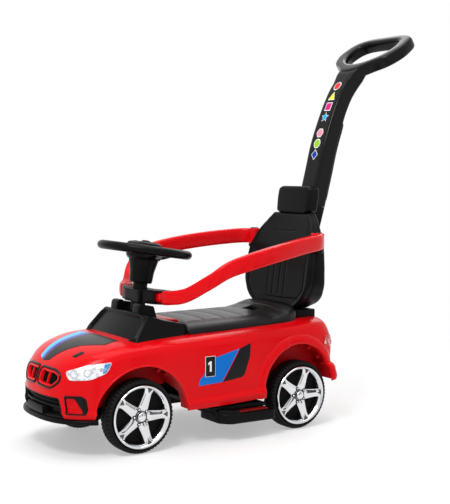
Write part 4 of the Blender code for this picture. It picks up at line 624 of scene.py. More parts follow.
class Skin:
    """Vertices and faces of one piece, gathered from grids before they become a mesh."""

    def __init__(self) -> None:
        self.points: list[Array] = []
        self.faces: list[list[int]] = []
        self.marks: list[int] = []
        self.count = 0

    def _take(self, points: Array, faces: Array, mark: int) -> None:
        """Adds points with their faces.

        Args:
            points: any grid of points.
            faces: rows of indices that count from the first of them.
            mark: finish index.
        """
        self.points.append(points.reshape(-1, 3))
        self.faces.extend((faces + self.count).tolist())
        self.marks.extend([mark] * len(faces))
        self.count += self.points[-1].shape[0]

    def grid(self, points: Array, close_u: bool = False, close_v: bool = False, mark: int = 0) -> Skin:
        """Adds the quads of an (n, m, 3) grid.

        Args:
            points: the grid.
            close_u: join its last row to its first.
            close_v: join its last column to its first.
            mark: which of the piece's finishes these faces take.

        Returns:
            The skin, so that calls can follow each other.
        """
        rows, columns = points.shape[:2]
        index = np.arange(rows * columns).reshape(rows, columns)
        index = np.vstack([index, index[:1]]) if close_u else index
        index = np.hstack([index, index[:, :1]]) if close_v else index
        quads = np.stack([index[:-1, :-1], index[:-1, 1:], index[1:, 1:], index[1:, :-1]], -1).reshape(-1, 4)
        self._take(points, quads, mark)
        return self

    def fan(self, ring: Array, mark: int = 0, middle: Array | None = None) -> Skin:
        """Closes a ring with triangles to its middle.

        Args:
            ring: its points.
            mark: finish index.
            middle: a point other than the mean.

        Returns:
            The skin.
        """
        centre = ring.mean(axis=0) if middle is None else np.asarray(middle, float)
        count = len(ring)
        index = np.arange(count)
        faces = np.stack([index, np.roll(index, -1), np.full(count, count)], 1)
        self._take(np.vstack([ring, centre]), faces, mark)
        return self

    def tube(self, rings: Array, mark: int = 0) -> Skin:
        """Adds rings along a form and closes both ends."""
        return self.grid(rings, close_v=True, mark=mark).fan(rings[0], mark).fan(rings[-1], mark)

    def wall(self, outer: Array, inner: Array, mark: int = 0) -> Skin:
        """Adds two equal grids as the faces of a sheet and closes its four edges.

        Args:
            outer: one face.
            inner: the other.
            mark: finish index.

        Returns:
            The skin.
        """
        self.grid(outer, mark=mark).grid(inner, mark=mark)
        for edge in (np.s_[0], np.s_[-1], np.s_[:, 0], np.s_[:, -1]):
            self.grid(np.stack([outer[edge], inner[edge]]), mark=mark)
        return self

    def block(self, corners: Outline | Array, radius: float, low: float, high: float, edge: float,
              origin: Array, x: Array, y: Array, z: Array, mark: int = 0, arc: int = 5) -> Skin:
        """Adds a plate with a rounded outline and rounded edges.

        Rings run from the middle of one face over its edge, where inset and height follow a quarter
        circle, down the side and back over the other edge.

        Args:
            corners: outline in the first two axes.
            radius: corner radius of the outline.
            low: height of the lower face along the third axis.
            high: height of the upper face.
            edge: radius of the edges.
            origin: where the outline is measured from.
            x: first axis.
            y: second axis.
            z: third axis.
            mark: finish index.
            arc: points on each corner.

        Returns:
            The skin.
        """
        turn = np.linspace(0.0, math.pi / 2, 5)
        insets = np.concatenate([edge * (1 - np.sin(turn)), edge * (1 - np.sin(turn[::-1]))])
        heights = np.concatenate([low + edge * (1 - np.cos(turn)), high - edge * (1 - np.cos(turn[::-1]))])
        rings = [raised(ring_of(moved_in(corners, inset), max(radius - inset, BLOCK_CORNER), arc, 3), height)[0]
                 for inset, height in zip(insets, heights)]
        return self.tube(set_at(np.array(rings), origin, x, y, z), mark)

    def mirrored(self, side: Side) -> Skin:
        """The skin, drawn for the left, on its own side."""
        self.points = [other_side(points, side) for points in self.points]
        return self

    def mesh(self, name: str, crease: float) -> bpy.types.Mesh:
        """The gathered faces as one mesh in the frame's place, welded and facing outwards.

        Args:
            name: the mesh's name.
            crease: angle in degrees from which an edge stays sharp.

        Returns:
            The mesh.
        """
        mesh = bpy.data.meshes.new(name)
        mesh.from_pydata(np.concatenate(self.points) - np.array([0.0, ORIGIN_Y, 0.0]), [], self.faces)
        mesh.polygons.foreach_set("material_index", np.array(self.marks, dtype=np.int32))
        weld(mesh, 2e-6)
        mesh.shade_smooth()
        mesh.set_sharp_from_angle(angle=math.radians(crease))
        return mesh

    def build(self, name: str, finishes: Finish | tuple[Finish, ...], body: str, replaces: tuple[str, ...] = (),
              slot: str | None = None, crease: float = 38.0, cuts: tuple[Skin, ...] = ()) -> bpy.types.Object:
        """Makes the piece, cuts it, dresses it and lets it ride on a body of the car.

        Args:
            name: the piece's name.
            finishes: one finish, or one for each mark.
            body: the body that it moves with.
            replaces: solids of the frame that it stands for.
            slot: the record's material slot, where it isn't the finish's own; not used.
            crease: angle in degrees from which an edge stays sharp.
            cuts: closed skins to take away.

        Returns:
            The object.
        """
        piece = added(name, self.mesh(name, crease))
        for i, cut in enumerate(cuts):
            carve(piece, cut, f"{name}_cut_{i}", crease)
        finishes = finishes if isinstance(finishes, tuple) else (finishes,)
        for finish in finishes:
            piece.data.materials.append(SHOP.material(finish))
        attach(piece, body)
        if replaces:
            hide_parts(*replaces)
        LOG.info("%s: %d faces on %s", name, len(piece.data.polygons), body)
        return piece


def carve(piece: bpy.types.Object, cut: Skin, name: str, crease: float) -> None:
    """Takes a closed skin away from a piece with a Boolean, and keeps the result as the piece's mesh.

    Args:
        piece: what is cut.
        cut: the closed skin.
        name: name of the tool while it is there.
        crease: angle in degrees from which an edge stays sharp.
    """
    tool = added(name, cut.mesh(name, crease))
    boolean = piece.modifiers.new("cut", "BOOLEAN")
    boolean.object, boolean.solver, boolean.operation = tool, "EXACT", "DIFFERENCE"
    graph = bpy.context.evaluated_depsgraph_get()
    graph.update()
    made = bpy.data.meshes.new_from_object(piece.evaluated_get(graph))
    piece.modifiers.remove(boolean)
    piece.data = made
    made.materials.clear()
    made.shade_smooth()
    made.set_sharp_from_angle(angle=math.radians(crease))
    bpy.data.objects.remove(tool)


def dress(nodes: dict[str, bpy.types.Object], names: tuple[str, ...], finish: Finish) -> None:
    """Gives carried-over solids a finish.

    Args:
        nodes: the frame's solids by name.
        names: which of them.
        finish: what they wear.
    """
    for name in names:
        node = nodes[name]
        node.data.materials.clear()
        node.data.materials.append(SHOP.material(finish))


# Body

@dataclass
class BodyForm:
    """The body's outer surface as a function of a place round the car and a row up its side.

    A row is a plan outline, a superellipse for the nose, a straight side and a squarer superellipse
    for the tail, with a height at each station along the car. Values between rows and between
    stations come from blurred linear interpolation, so the rows blend into one smooth skin.
    """

    nose_power: float = 2.6
    tail_power: float = 8.0
    tail_centre: float = 0.2
    facing: float = -0.12
    margin: float = 0.012
    batch: int = 1500
    bell: float = 0.0022
    wide_bell: float = 0.02
    stations: tuple[float, ...] = (-0.16, -0.1, -0.03, 0.06, 0.2, 0.35, 0.44, 0.5)
    rows: tuple[tuple[float, ...], ...] = (
        (0.1435, 0.157, 0.4965, 0.01, 0.0755, 0.0755, 0.074, 0.072, 0.0735, 0.08, 0.095, 0.093),
        (0.1475, 0.1585, 0.4975, 0.01, 0.085, 0.085, 0.085, 0.084, 0.086, 0.092, 0.105, 0.106),
        (0.1425, 0.158, 0.4975, 0.009, 0.094, 0.094, 0.095, 0.095, 0.096, 0.105, 0.126, 0.127),
        (0.142, 0.158, 0.496, 0.0, 0.105, 0.106, 0.112, 0.116, 0.12, 0.128, 0.133, 0.134),
        (0.1424, 0.155, 0.499, 0.0, 0.133, 0.14, 0.15, 0.155, 0.158, 0.161, 0.162, 0.162),
        (0.141, 0.15, 0.497, 0.0, 0.151, 0.164, 0.18, 0.186, 0.19, 0.192, 0.19, 0.187),
        (0.137, 0.142, 0.491, 0.0, 0.162, 0.18, 0.196, 0.202, 0.206, 0.21, 0.211, 0.208),
        (0.127, 0.13, 0.483, 0.0, 0.171, 0.19, 0.2045, 0.2105, 0.215, 0.2205, 0.225, 0.224),
        (0.108, 0.113, 0.472, 0.0, 0.18, 0.197, 0.2095, 0.214, 0.2185, 0.2235, 0.229, 0.231),
        (0.07, 0.085, 0.454, 0.0, 0.19, 0.2035, 0.2135, 0.2175, 0.221, 0.2255, 0.231, 0.233),
        (0.0, 0.06, 0.434, 0.0, 0.196, 0.207, 0.216, 0.219, 0.2225, 0.2265, 0.232, 0.234),
    )
    points: Array = field(init=False)
    normals: Array = field(init=False)

    def __post_init__(self) -> None:
        """Samples the surface on its grid, with a normal at each point."""
        up = np.concatenate([np.linspace(0.0, 3.2, 38), np.linspace(3.2, 10.0, 66)[1:]])
        left = self._surface(up)
        whole = np.concatenate([left, (left * np.array([-1.0, 1.0, 1.0]))[:, -2:0:-1]], axis=1)
        beyond = np.concatenate([left[-2:-1] * np.array([-1.0, 1.0, 1.0]), left[-2:-1, -2:0:-1]], axis=1)
        padded = np.concatenate([2 * whole[:1] - whole[1:2], whole, beyond])
        rise = padded[2:] - padded[:-2]
        round_car = np.roll(whole, -1, axis=1) - np.roll(whole, 1, axis=1)
        round_car[-1] = np.where(np.abs(round_car[-1]).sum(-1, keepdims=True) < 1e-7, np.array([0.0, 1.0, 0.0]),
                                 round_car[-1])
        across = np.cross(round_car, rise)
        across /= np.maximum(np.linalg.norm(across, axis=-1, keepdims=True), 1e-12)
        self.points, self.normals = whole, across

    def _surface(self, up: Array) -> Array:
        """The left half, from the middle of the nose to the middle of the tail.

        Args:
            up: row numbers, where whole ones are the table's and 10 is the ridge.

        Returns:
            An (up, round, 3) grid.
        """
        table = np.array(self.rows)
        order = np.arange(21)
        mirror = np.concatenate([table, table[-2::-1]])
        mirror[11:, 0] *= -1.0
        width = 0.12 + 0.4 * smooth(up, 3.0, 4.6)
        half, front, rear, tail = (blurred(up, order, mirror[:, k], width)[:, None] for k in range(4))
        heights = np.stack([blurred(up, order, mirror[:, 4 + k], width) for k in range(8)], 1)
        half = np.maximum(half, 0.0)
        nose = np.linspace(0.0, math.pi / 2, 66)[None]
        side = np.linspace(0.0, 0.32, 64)[1:][None]
        reach = rear - self.tail_centre
        share = np.clip((side - self.tail_centre) / reach, 0.0, 1.0)
        first = np.arccos(np.minimum(1.0, share[:, -1:] ** (self.tail_power / 2)))
        turn = first * np.linspace(1.0, 0.0, 45)[1:][None] ** 3
        x = np.concatenate([half * np.sin(nose) ** (2 / self.nose_power),
                            half * (1 - share ** self.tail_power) ** (1 / self.tail_power),
                            half * np.sin(turn) ** (2 / self.tail_power)], axis=1)
        y = np.concatenate([-front * np.clip(np.cos(nose), 0, 1) ** (2 / self.nose_power),
                            np.broadcast_to(side, share.shape),
                            self.tail_centre + reach * np.cos(turn) ** (2 / self.tail_power)], axis=1)
        flare = smooth(y, 0.428, 0.472) * tail
        part = x / np.maximum(half, 1e-9)
        x, y = x + flare * part, y + flare * np.clip(1 - part, 0.0, 1.0) ** 0.25
        x[:, 0] = x[:, -1] = 0.0
        x[-1] = 0.0
        hats = [blurred(y, np.array(self.stations), row, 0.016) for row in np.eye(8)]
        z = sum(heights[:, k:k + 1] * hats[k] for k in range(8))
        return np.stack([x, y, z], -1)

    def cast(self, points: Array, direction: tuple[float, float, float]) -> tuple[Array, Array]:
        """Lands points on the skin along a direction.

        Every near sample of the skin gives the place where its tangent plane is met. Their mean,
        weighted by a bell of the distance seen along the direction, is the landing point.

        Args:
            points: (..., 3) starting points.
            direction: where they go.

        Returns:
            The landing points and the skin's normals there.
        """
        way = np.array(direction, float) / np.linalg.norm(direction)
        flat = points.reshape(-1, 3)
        faces_it = (self.normals @ way) < self.facing
        samples, normals = self.points[faces_it], self.normals[faces_it]
        u = np.cross(way, UP if abs(way[2]) < 0.9 else np.array([1.0, 0.0, 0.0]))
        u /= np.linalg.norm(u)
        plane = np.stack([u, np.cross(way, u)], 1)
        target, seen = flat @ plane, samples @ plane
        low, high = target.min(0) - self.margin, target.max(0) + self.margin
        near = np.all((seen > low) & (seen < high), axis=1)
        samples, normals, seen = samples[near], normals[near], seen[near]
        hits, tilts = [], []
        for start in range(0, len(flat), self.batch):
            part = slice(start, start + self.batch)
            gap = ((target[part, None] - seen[None]) ** 2).sum(-1)
            weight = np.exp(-gap / (2 * self.bell ** 2)) + 1e-30 * np.exp(-gap / (2 * self.wide_bell ** 2))
            weight /= weight.sum(1, keepdims=True)
            travel = ((samples * normals).sum(1)[None] - flat[part] @ normals.T) / (normals @ way)[None]
            hits.append(flat[part] + (weight * travel).sum(1)[:, None] * way)
            tilts.append(weight @ normals)
        tilt = np.concatenate(tilts)
        tilt /= np.linalg.norm(tilt, axis=1)[:, None]
        return np.concatenate(hits).reshape(points.shape), tilt.reshape(points.shape)


@dataclass(frozen=True)
class View:
    """A flat drawing plane in front of the body: its origin, its two axes and the way to the skin."""

    origin: tuple[float, float, float]
    u: tuple[float, float, float]
    v: tuple[float, float, float]
    way: tuple[float, float, float]


NOSE = View((0, -0.3, 0), (1, 0, 0), (0, 0, 1), (0, 1, 0))
FLANK = View((0.3, 0, 0), (0, 1, 0), (0, 0, 1), (-1, 0, 0))
HOOD = View((0, 0, 0.4), (1, 0, 0), (0, 1, 0), (0, 0, -1))
LAMP_VIEW = View((0.115 + 0.0843, -0.098 - 0.0538, 0.164), (0.538, 0.843, 0.0), (0, 0, 1), (-0.843, 0.538, 0.0))
TAIL_VIEW = View((0.118 + 0.083, 0.468 + 0.055, 0.18), (-0.55, 0.83, 0.0), (0, 0, 1), (-0.83, -0.55, 0.0))


class Fitter:
    """Makes pieces that follow the body's skin."""

    def __init__(self, form: BodyForm) -> None:
        self.form = form

    def landed(self, flat: Array, lift: Array | float, view: View) -> Array:
        """Drawn points on the skin.

        Args:
            flat: points in the view's plane.
            lift: how far each is raised along the skin's normal.
            view: drawing plane.

        Returns:
            The points on the car.
        """
        u, v = np.array(view.u, float), np.array(view.v, float)
        start = np.array(view.origin) + flat[..., :1] * u + flat[..., 1:2] * v
        hit, normal = self.form.cast(start, view.way)
        return hit + np.asarray(lift)[..., None] * normal

    def rings(self, corners: Outline | Array, radius: float, levels: Levels, view: View, arc: int = 6,
              straight: int = 8) -> Array:
        """Rings of one outline on the skin.

        Args:
            corners: outline in the view's plane.
            radius: corner radius.
            levels: inset and height of each ring.
            view: drawing plane.
            arc: points on a corner.
            straight: points between two corners.

        Returns:
            A grid of the rings.
        """
        flat = np.array([ring_of(moved_in(corners, inset), max(radius - inset, SKIN_CORNER), arc, straight)
                         for inset, _ in levels])
        lift = np.broadcast_to(np.array([lift for _, lift in levels])[:, None], flat.shape[:2])
        return self.landed(flat, lift, view)

    def frame(self, skin: Skin, corners: Outline | Array, radius: float, levels: Levels, view: View,
              mark: int = 0) -> Skin:
        """A closed moulding round an outline, its section given by the levels."""
        return skin.grid(self.rings(corners, radius, levels, view), close_u=True, close_v=True, mark=mark)

    def panel(self, skin: Skin, corners: Outline | Array, radius: float, levels: Levels, view: View,
              crown: float = 0.0, middle: tuple[float, float] | None = None, mark: int = 0, rows: int = 10) -> Skin:
        """A closed plate on the skin.

        The last level's ring shrinks to the middle in even steps, and the face rises by crown times
        one minus the square of the step's size.

        Args:
            skin: what the faces are added to.
            corners: outline in the view's plane.
            radius: corner radius.
            levels: inset and height of each ring from the buried edge inwards.
            view: drawing plane.
            crown: extra height in the middle.
            middle: point that the outline shrinks to.
            mark: finish index.
            rows: rings of the face.

        Returns:
            The skin.
        """
        edge = self.rings(corners, radius, levels, view)
        last = ring_of(moved_in(corners, levels[-1][0]), max(radius - levels[-1][0], SKIN_CORNER), 6, 8)
        centre = last.mean(0) if middle is None else np.array(middle)
        share = np.linspace(1.0, 0.0, rows + 1)[1:, None, None]
        flat = centre + (last - centre)[None] * share
        lift = levels[-1][1] + crown * (1 - share[..., 0] ** 2)
        face = self.landed(flat, np.broadcast_to(lift, flat.shape[:2]), view)
        skin.grid(np.concatenate([edge, face]), close_v=True, mark=mark)
        return skin.fan(edge[0], mark)

    def decal(self, corners: Outline | Array, view: View, radius: float = 0.0006, height: float = 0.00035,
              middle: tuple[float, float] | None = None) -> Skin:
        """A thin sticker on the skin."""
        return self.panel(Skin(), corners, radius, ((0.0, -0.001), (0.0, height), (0.0002, height + 0.00008)), view,
                          middle=middle)


@dataclass
class Body:
    """Red shell: skin, wheel arches, lips, liners and the stickers on it."""

    form: BodyForm
    fit: Fitter
    front_arch: tuple[float, float, float] = (0.005, 0.071, 0.0985)
    rear_arch: tuple[float, float, float] = (0.383, 0.092, 0.091)
    front_well: float = 0.07
    rear_well: float = 0.093
    deep_well: float = 0.116
    wall: float = 0.003
    grille: Outline = ((0.003, 0.13), (0.056, 0.1275), (0.076, 0.144), (0.073, 0.159), (0.056, 0.166), (0.003, 0.167))
    vent: Outline = ((0.087, 0.1195), (0.093, 0.0845), (0.1225, 0.085), (0.119, 0.114), (0.114, 0.1205))
    intake: Outline = ((-0.077, 0.114), (-0.09, 0.07), (0.09, 0.07), (0.077, 0.114))

    def build(self) -> None:
        """Builds every piece of the shell."""
        self.skin()
        for side in Side:
            self.arches(side)
            self.flank_graphics(side)
        self.hood_graphics()

    def skin(self) -> None:
        """The shell: the body's surface and the same surface moved in by the wall, joined at the hem."""
        outer = self.form.points
        inner = outer - self.wall * self.form.normals
        inner[-1, :, 0] = 0.0
        skin = Skin()
        for sheet in (outer, inner, np.stack([outer[0], inner[0]])):
            skin.grid(sheet, close_v=True)
        first, second = Skin(), Skin()
        axis = ((0, 1, 0), (0, 0, 1), (1, 0, 0))
        for side in Side:
            for y, z, radius in (self.front_arch, self.rear_arch):
                disc = turned(((radius, 0.076), (radius, 0.2)), 120)
                first.tube(other_side(set_at(disc, (0, y, z), *axis), side))
            for outline, radius in ((self.grille, 0.01), (self.vent, 0.003)):
                ring = ring_of(outline, radius, 6, 2)
                first.tube(other_side(raised(ring, -0.18, -0.101)[..., [0, 2, 1]], side))
        mouth = ring_of(((-0.077, 0.114), (-0.0905, 0.068), (0.0905, 0.068), (0.077, 0.114)), 0.006, 6, 2)
        first.tube(raised(mouth, -0.18, -0.11)[..., [0, 2, 1]])
        second.tube(raised(ring_of(oblong(-0.0723, 0.0723, 0.1517, 0.3453), 0.004, 4, 2), 0.18, 0.26))
        second.tube(raised(np.array(oblong(-0.12, 0.12, 0.07, 0.125)), 0.04, 0.0952))
        skin.build("body_skin", RED, "body", ("body_shell",), crease=32.0, cuts=(first, second))

    def arches(self, side: Side) -> None:
        """The arch edges, the liner of each well and its bosses; liner and ribs wear a red painted darker as shade.

        An edge is a section of (distance out from the arch, height above the skin), carried round
        the arch on the skin. A liner is the arch's own curve from the skin to the inner wall.

        Args:
            side: which side of the car.
        """
        front_lip = ((-0.0004, -0.0042), (-0.0004, -0.0004), (0.0002, 0.0007), (0.0014, 0.001), (0.003, 0.0004),
                     (0.004, -0.001))
        rear_lip = ((-0.0006, -0.0042), (-0.0006, 0.0016), (0.0002, 0.0036), (0.002, 0.0048), (0.006, 0.0051),
                    (0.0115, 0.0044), (0.0155, 0.0026), (0.0185, 0.0008), (0.02, -0.001))
        for name, (y, z, radius), well, lip, first, last in (
            ("front", self.front_arch, self.front_well, front_lip, 3.0, 177.0),
            ("rear", self.rear_arch, self.rear_well, rear_lip, 4.0, 188.0),
        ):
            angle = np.radians(np.linspace(first, last, 110))
            out, lift = np.array(lip).T
            reach = radius + out[None] + 0 * angle[:, None]
            flat = np.stack([y + reach * np.cos(angle)[:, None], z + reach * np.sin(angle)[:, None]], -1)
            band = self.fit.landed(flat, np.broadcast_to(lift, reach.shape), FLANK)
            Skin().tube(other_side(band, side)).build(
                f"arch_edge_{name}_{side.word}", RED, "body", crease=50.0)
            edge = band[:, 1, 0] - 0.0022
            inward = np.linspace(0.0, 1.0, 14)
            deep = np.full_like(angle, well)
            if name == "front":
                deep += (self.deep_well - well) * smooth(math.radians(34.0) - angle, 0.0, 0.22)
            x = edge[:, None] * (1 - inward) + deep[:, None] * inward
            tunnel = []
            for grow in (0.0, 0.0026):
                curve = np.stack([y + (radius + grow) * np.cos(angle), z + (radius + grow) * np.sin(angle)], -1)
                tunnel.append(np.concatenate([x[..., None], np.broadcast_to(curve[:, None], (*x.shape, 2))], -1))
            liner = Skin().wall(other_side(tunnel[0], side), other_side(tunnel[1], side))
            foot = np.linspace(0.0, 1.0, 110)[:, None, None]
            sweep = np.radians(np.linspace(28.0 if name == "front" else first, last, 110))
            arc = np.stack([radius * np.cos(sweep), radius * np.sin(sweep)], -1)
            chord = arc[-1] * foot[:, 0] + arc[0] * (1 - foot[:, 0])
            share = np.linspace(0.0, 1.0, 9)[None, :, None]
            disc = arc[:, None] * (1 - share) + chord[:, None] * share + np.array([y, z])
            faces = [np.concatenate([np.full((*disc.shape[:2], 1), at), disc], -1) for at in (well, well - 0.0026)]
            liner.wall(other_side(faces[0], side), other_side(faces[1], side))
            arch = (y, z, radius)
            boss = turned(softened(((0.0, 0.0075), (0.0034, 0.0075), (0.0046, 0.0), (0.0046, -0.002)), 0.001), 20)
            for turn in ((62.0, 100.0) if name == "front" else (38.0, 60.0)):
                liner.tube(other_side(set_at(boss, *self._on_arch(arch, turn, 0.118, -0.0005)), side))
            rib = ((-0.02, 0.0), (0.02, 0.0), (0.017, 0.006), (-0.017, 0.006))
            root, across, along, inwards = self._on_arch(arch, 52.0 if name == "front" else 26.0, 0.105, 0.0005)
            Skin().block(rib, 0.001, -0.0015, 0.0015, 0.0006, root, across, inwards, -along).mirrored(side).build(
                f"arch_rib_{name}_{side.word}", RED_INNER_PAINTED_SHADE, "body")
            # The liner's red is painted darker as shade.
            liner.build(f"arch_liner_{name}_{side.word}", RED_INNER_PAINTED_SHADE, "body")
            # A small black cap on each liner: in the front well the black bolt, and in the rear well a hole, painted
            # as a black cap where there is only shade.
            bolt_and_hole_shade = turned(softened(((0.0, 0.003), (0.004, 0.003), (0.0052, 0.001), (0.0052, -0.001)), 0.0008), 24)
            there = self._on_arch(arch, 78.0 if name == "front" else 84.0, 0.126, -0.0002)
            Skin().tube(other_side(set_at(bolt_and_hole_shade, *there), side)).build(
                f"arch_plug_{name}_{side.word}", BLACK_DEEP, "body")

    @staticmethod
    def _on_arch(arch: tuple[float, float, float], degrees: float, x: float,
                 out: float) -> tuple[Array, Array, Array, Array]:
        """A place on an arch's curve.

        Args:
            arch: its middle's Y and Z and its radius.
            degrees: heading from the middle, where 0 is the rear and 90 is up.
            x: place across the car.
            out: distance past the curve.

        Returns:
            The place, and the axes across the car, along the curve and to its middle.
        """
        y, z, radius = arch
        turn = math.radians(degrees)
        inwards = np.array([0.0, -math.cos(turn), -math.sin(turn)])
        root = np.array([x, y + (radius + out) * math.cos(turn), z + (radius + out) * math.sin(turn)])
        return root, SIDEWAYS, np.cross(inwards, SIDEWAYS), inwards

    def flank_graphics(self, side: Side) -> None:
        """Two slanted blocks with a plain number plate, as vinyl on the door.

        Args:
            side: which side of the car.
        """
        shapes: tuple[tuple[str, Outline, float, Finish, tuple[float, float] | None], ...] = (
            ("door_block", ((0.129, 0.119), (0.132, 0.133), (0.14, 0.1385), (0.156, 0.17), (0.227, 0.186),
                            (0.185, 0.1215)), 0.00035, VINYL_BLUE, (0.175, 0.148)),
            ("door_wedge", ((0.1875, 0.1215), (0.2295, 0.1862), (0.2565, 0.195), (0.253, 0.166), (0.24, 0.131),
                            (0.232, 0.1265)), 0.00035, VINYL_BLACK, None),
            ("number_edge", oblong(0.144, 0.168, 0.1355, 0.1765), 0.00065, VINYL_WHITE, None),
            ("number_plate", oblong(0.1448, 0.1672, 0.1363, 0.1757), 0.00085, VINYL_BLACK, None),
        )
        for name, outline, height, finish, middle in shapes:
            skin = self.fit.decal(outline, FLANK, 0.0012, height, middle)
            self._stick(skin, f"{name}_{side.word}", finish, side)
        x = 0.156
        digit = np.array(((-0.002, -0.0105), (0.0026, -0.0105), (0.0026, 0.0105), (-0.001, 0.0105), (-0.0058, 0.007),
                          (-0.0058, 0.003), (-0.002, 0.0052)))
        digit[:, 0] *= side.value
        digit = digit[:: side.value] if side is Side.LEFT else digit
        skin = self.fit.decal(digit + np.array([x, 0.156]), FLANK, 0.0003, 0.00105, (x, 0.164))
        self._stick(skin, f"number_one_{side.word}", VINYL_WHITE, side)

    def hood_graphics(self) -> None:
        """Plain bands that widen from the nose to the windshield, and a bare badge plate."""
        bands: tuple[tuple[str, Outline, Finish], ...] = (
            ("band_dark", ((-0.01, -0.137), (0.012, -0.134), (0.048, -0.0815), (0.083, -0.05), (0.078, -0.019),
                           (-0.023, -0.023)), VINYL_BLACK),
            ("band_sky", ((-0.034, -0.13), (-0.019, -0.135), (-0.044, -0.024), (-0.076, -0.024)), VINYL_SKY),
            ("band_violet", ((-0.0182, -0.1352), (-0.0112, -0.1366), (-0.024, -0.024), (-0.0428, -0.024)),
             VINYL_VIOLET),
            ("badge_plate", ((0.0665, -0.112), (0.079, -0.11), (0.084, -0.0935), (0.0735, -0.0925)), VINYL_BLACK),
        )
        for name, outline, finish in bands:
            self._stick(self.fit.decal(outline, HOOD, 0.0015), f"hood_{name}", finish, Side.LEFT)

    @staticmethod
    def _stick(skin: Skin, name: str, finish: Finish, side: Side) -> None:
        """Builds a sticker, mirrored for the right side."""
        skin.mirrored(side).build(name, finish, "body")


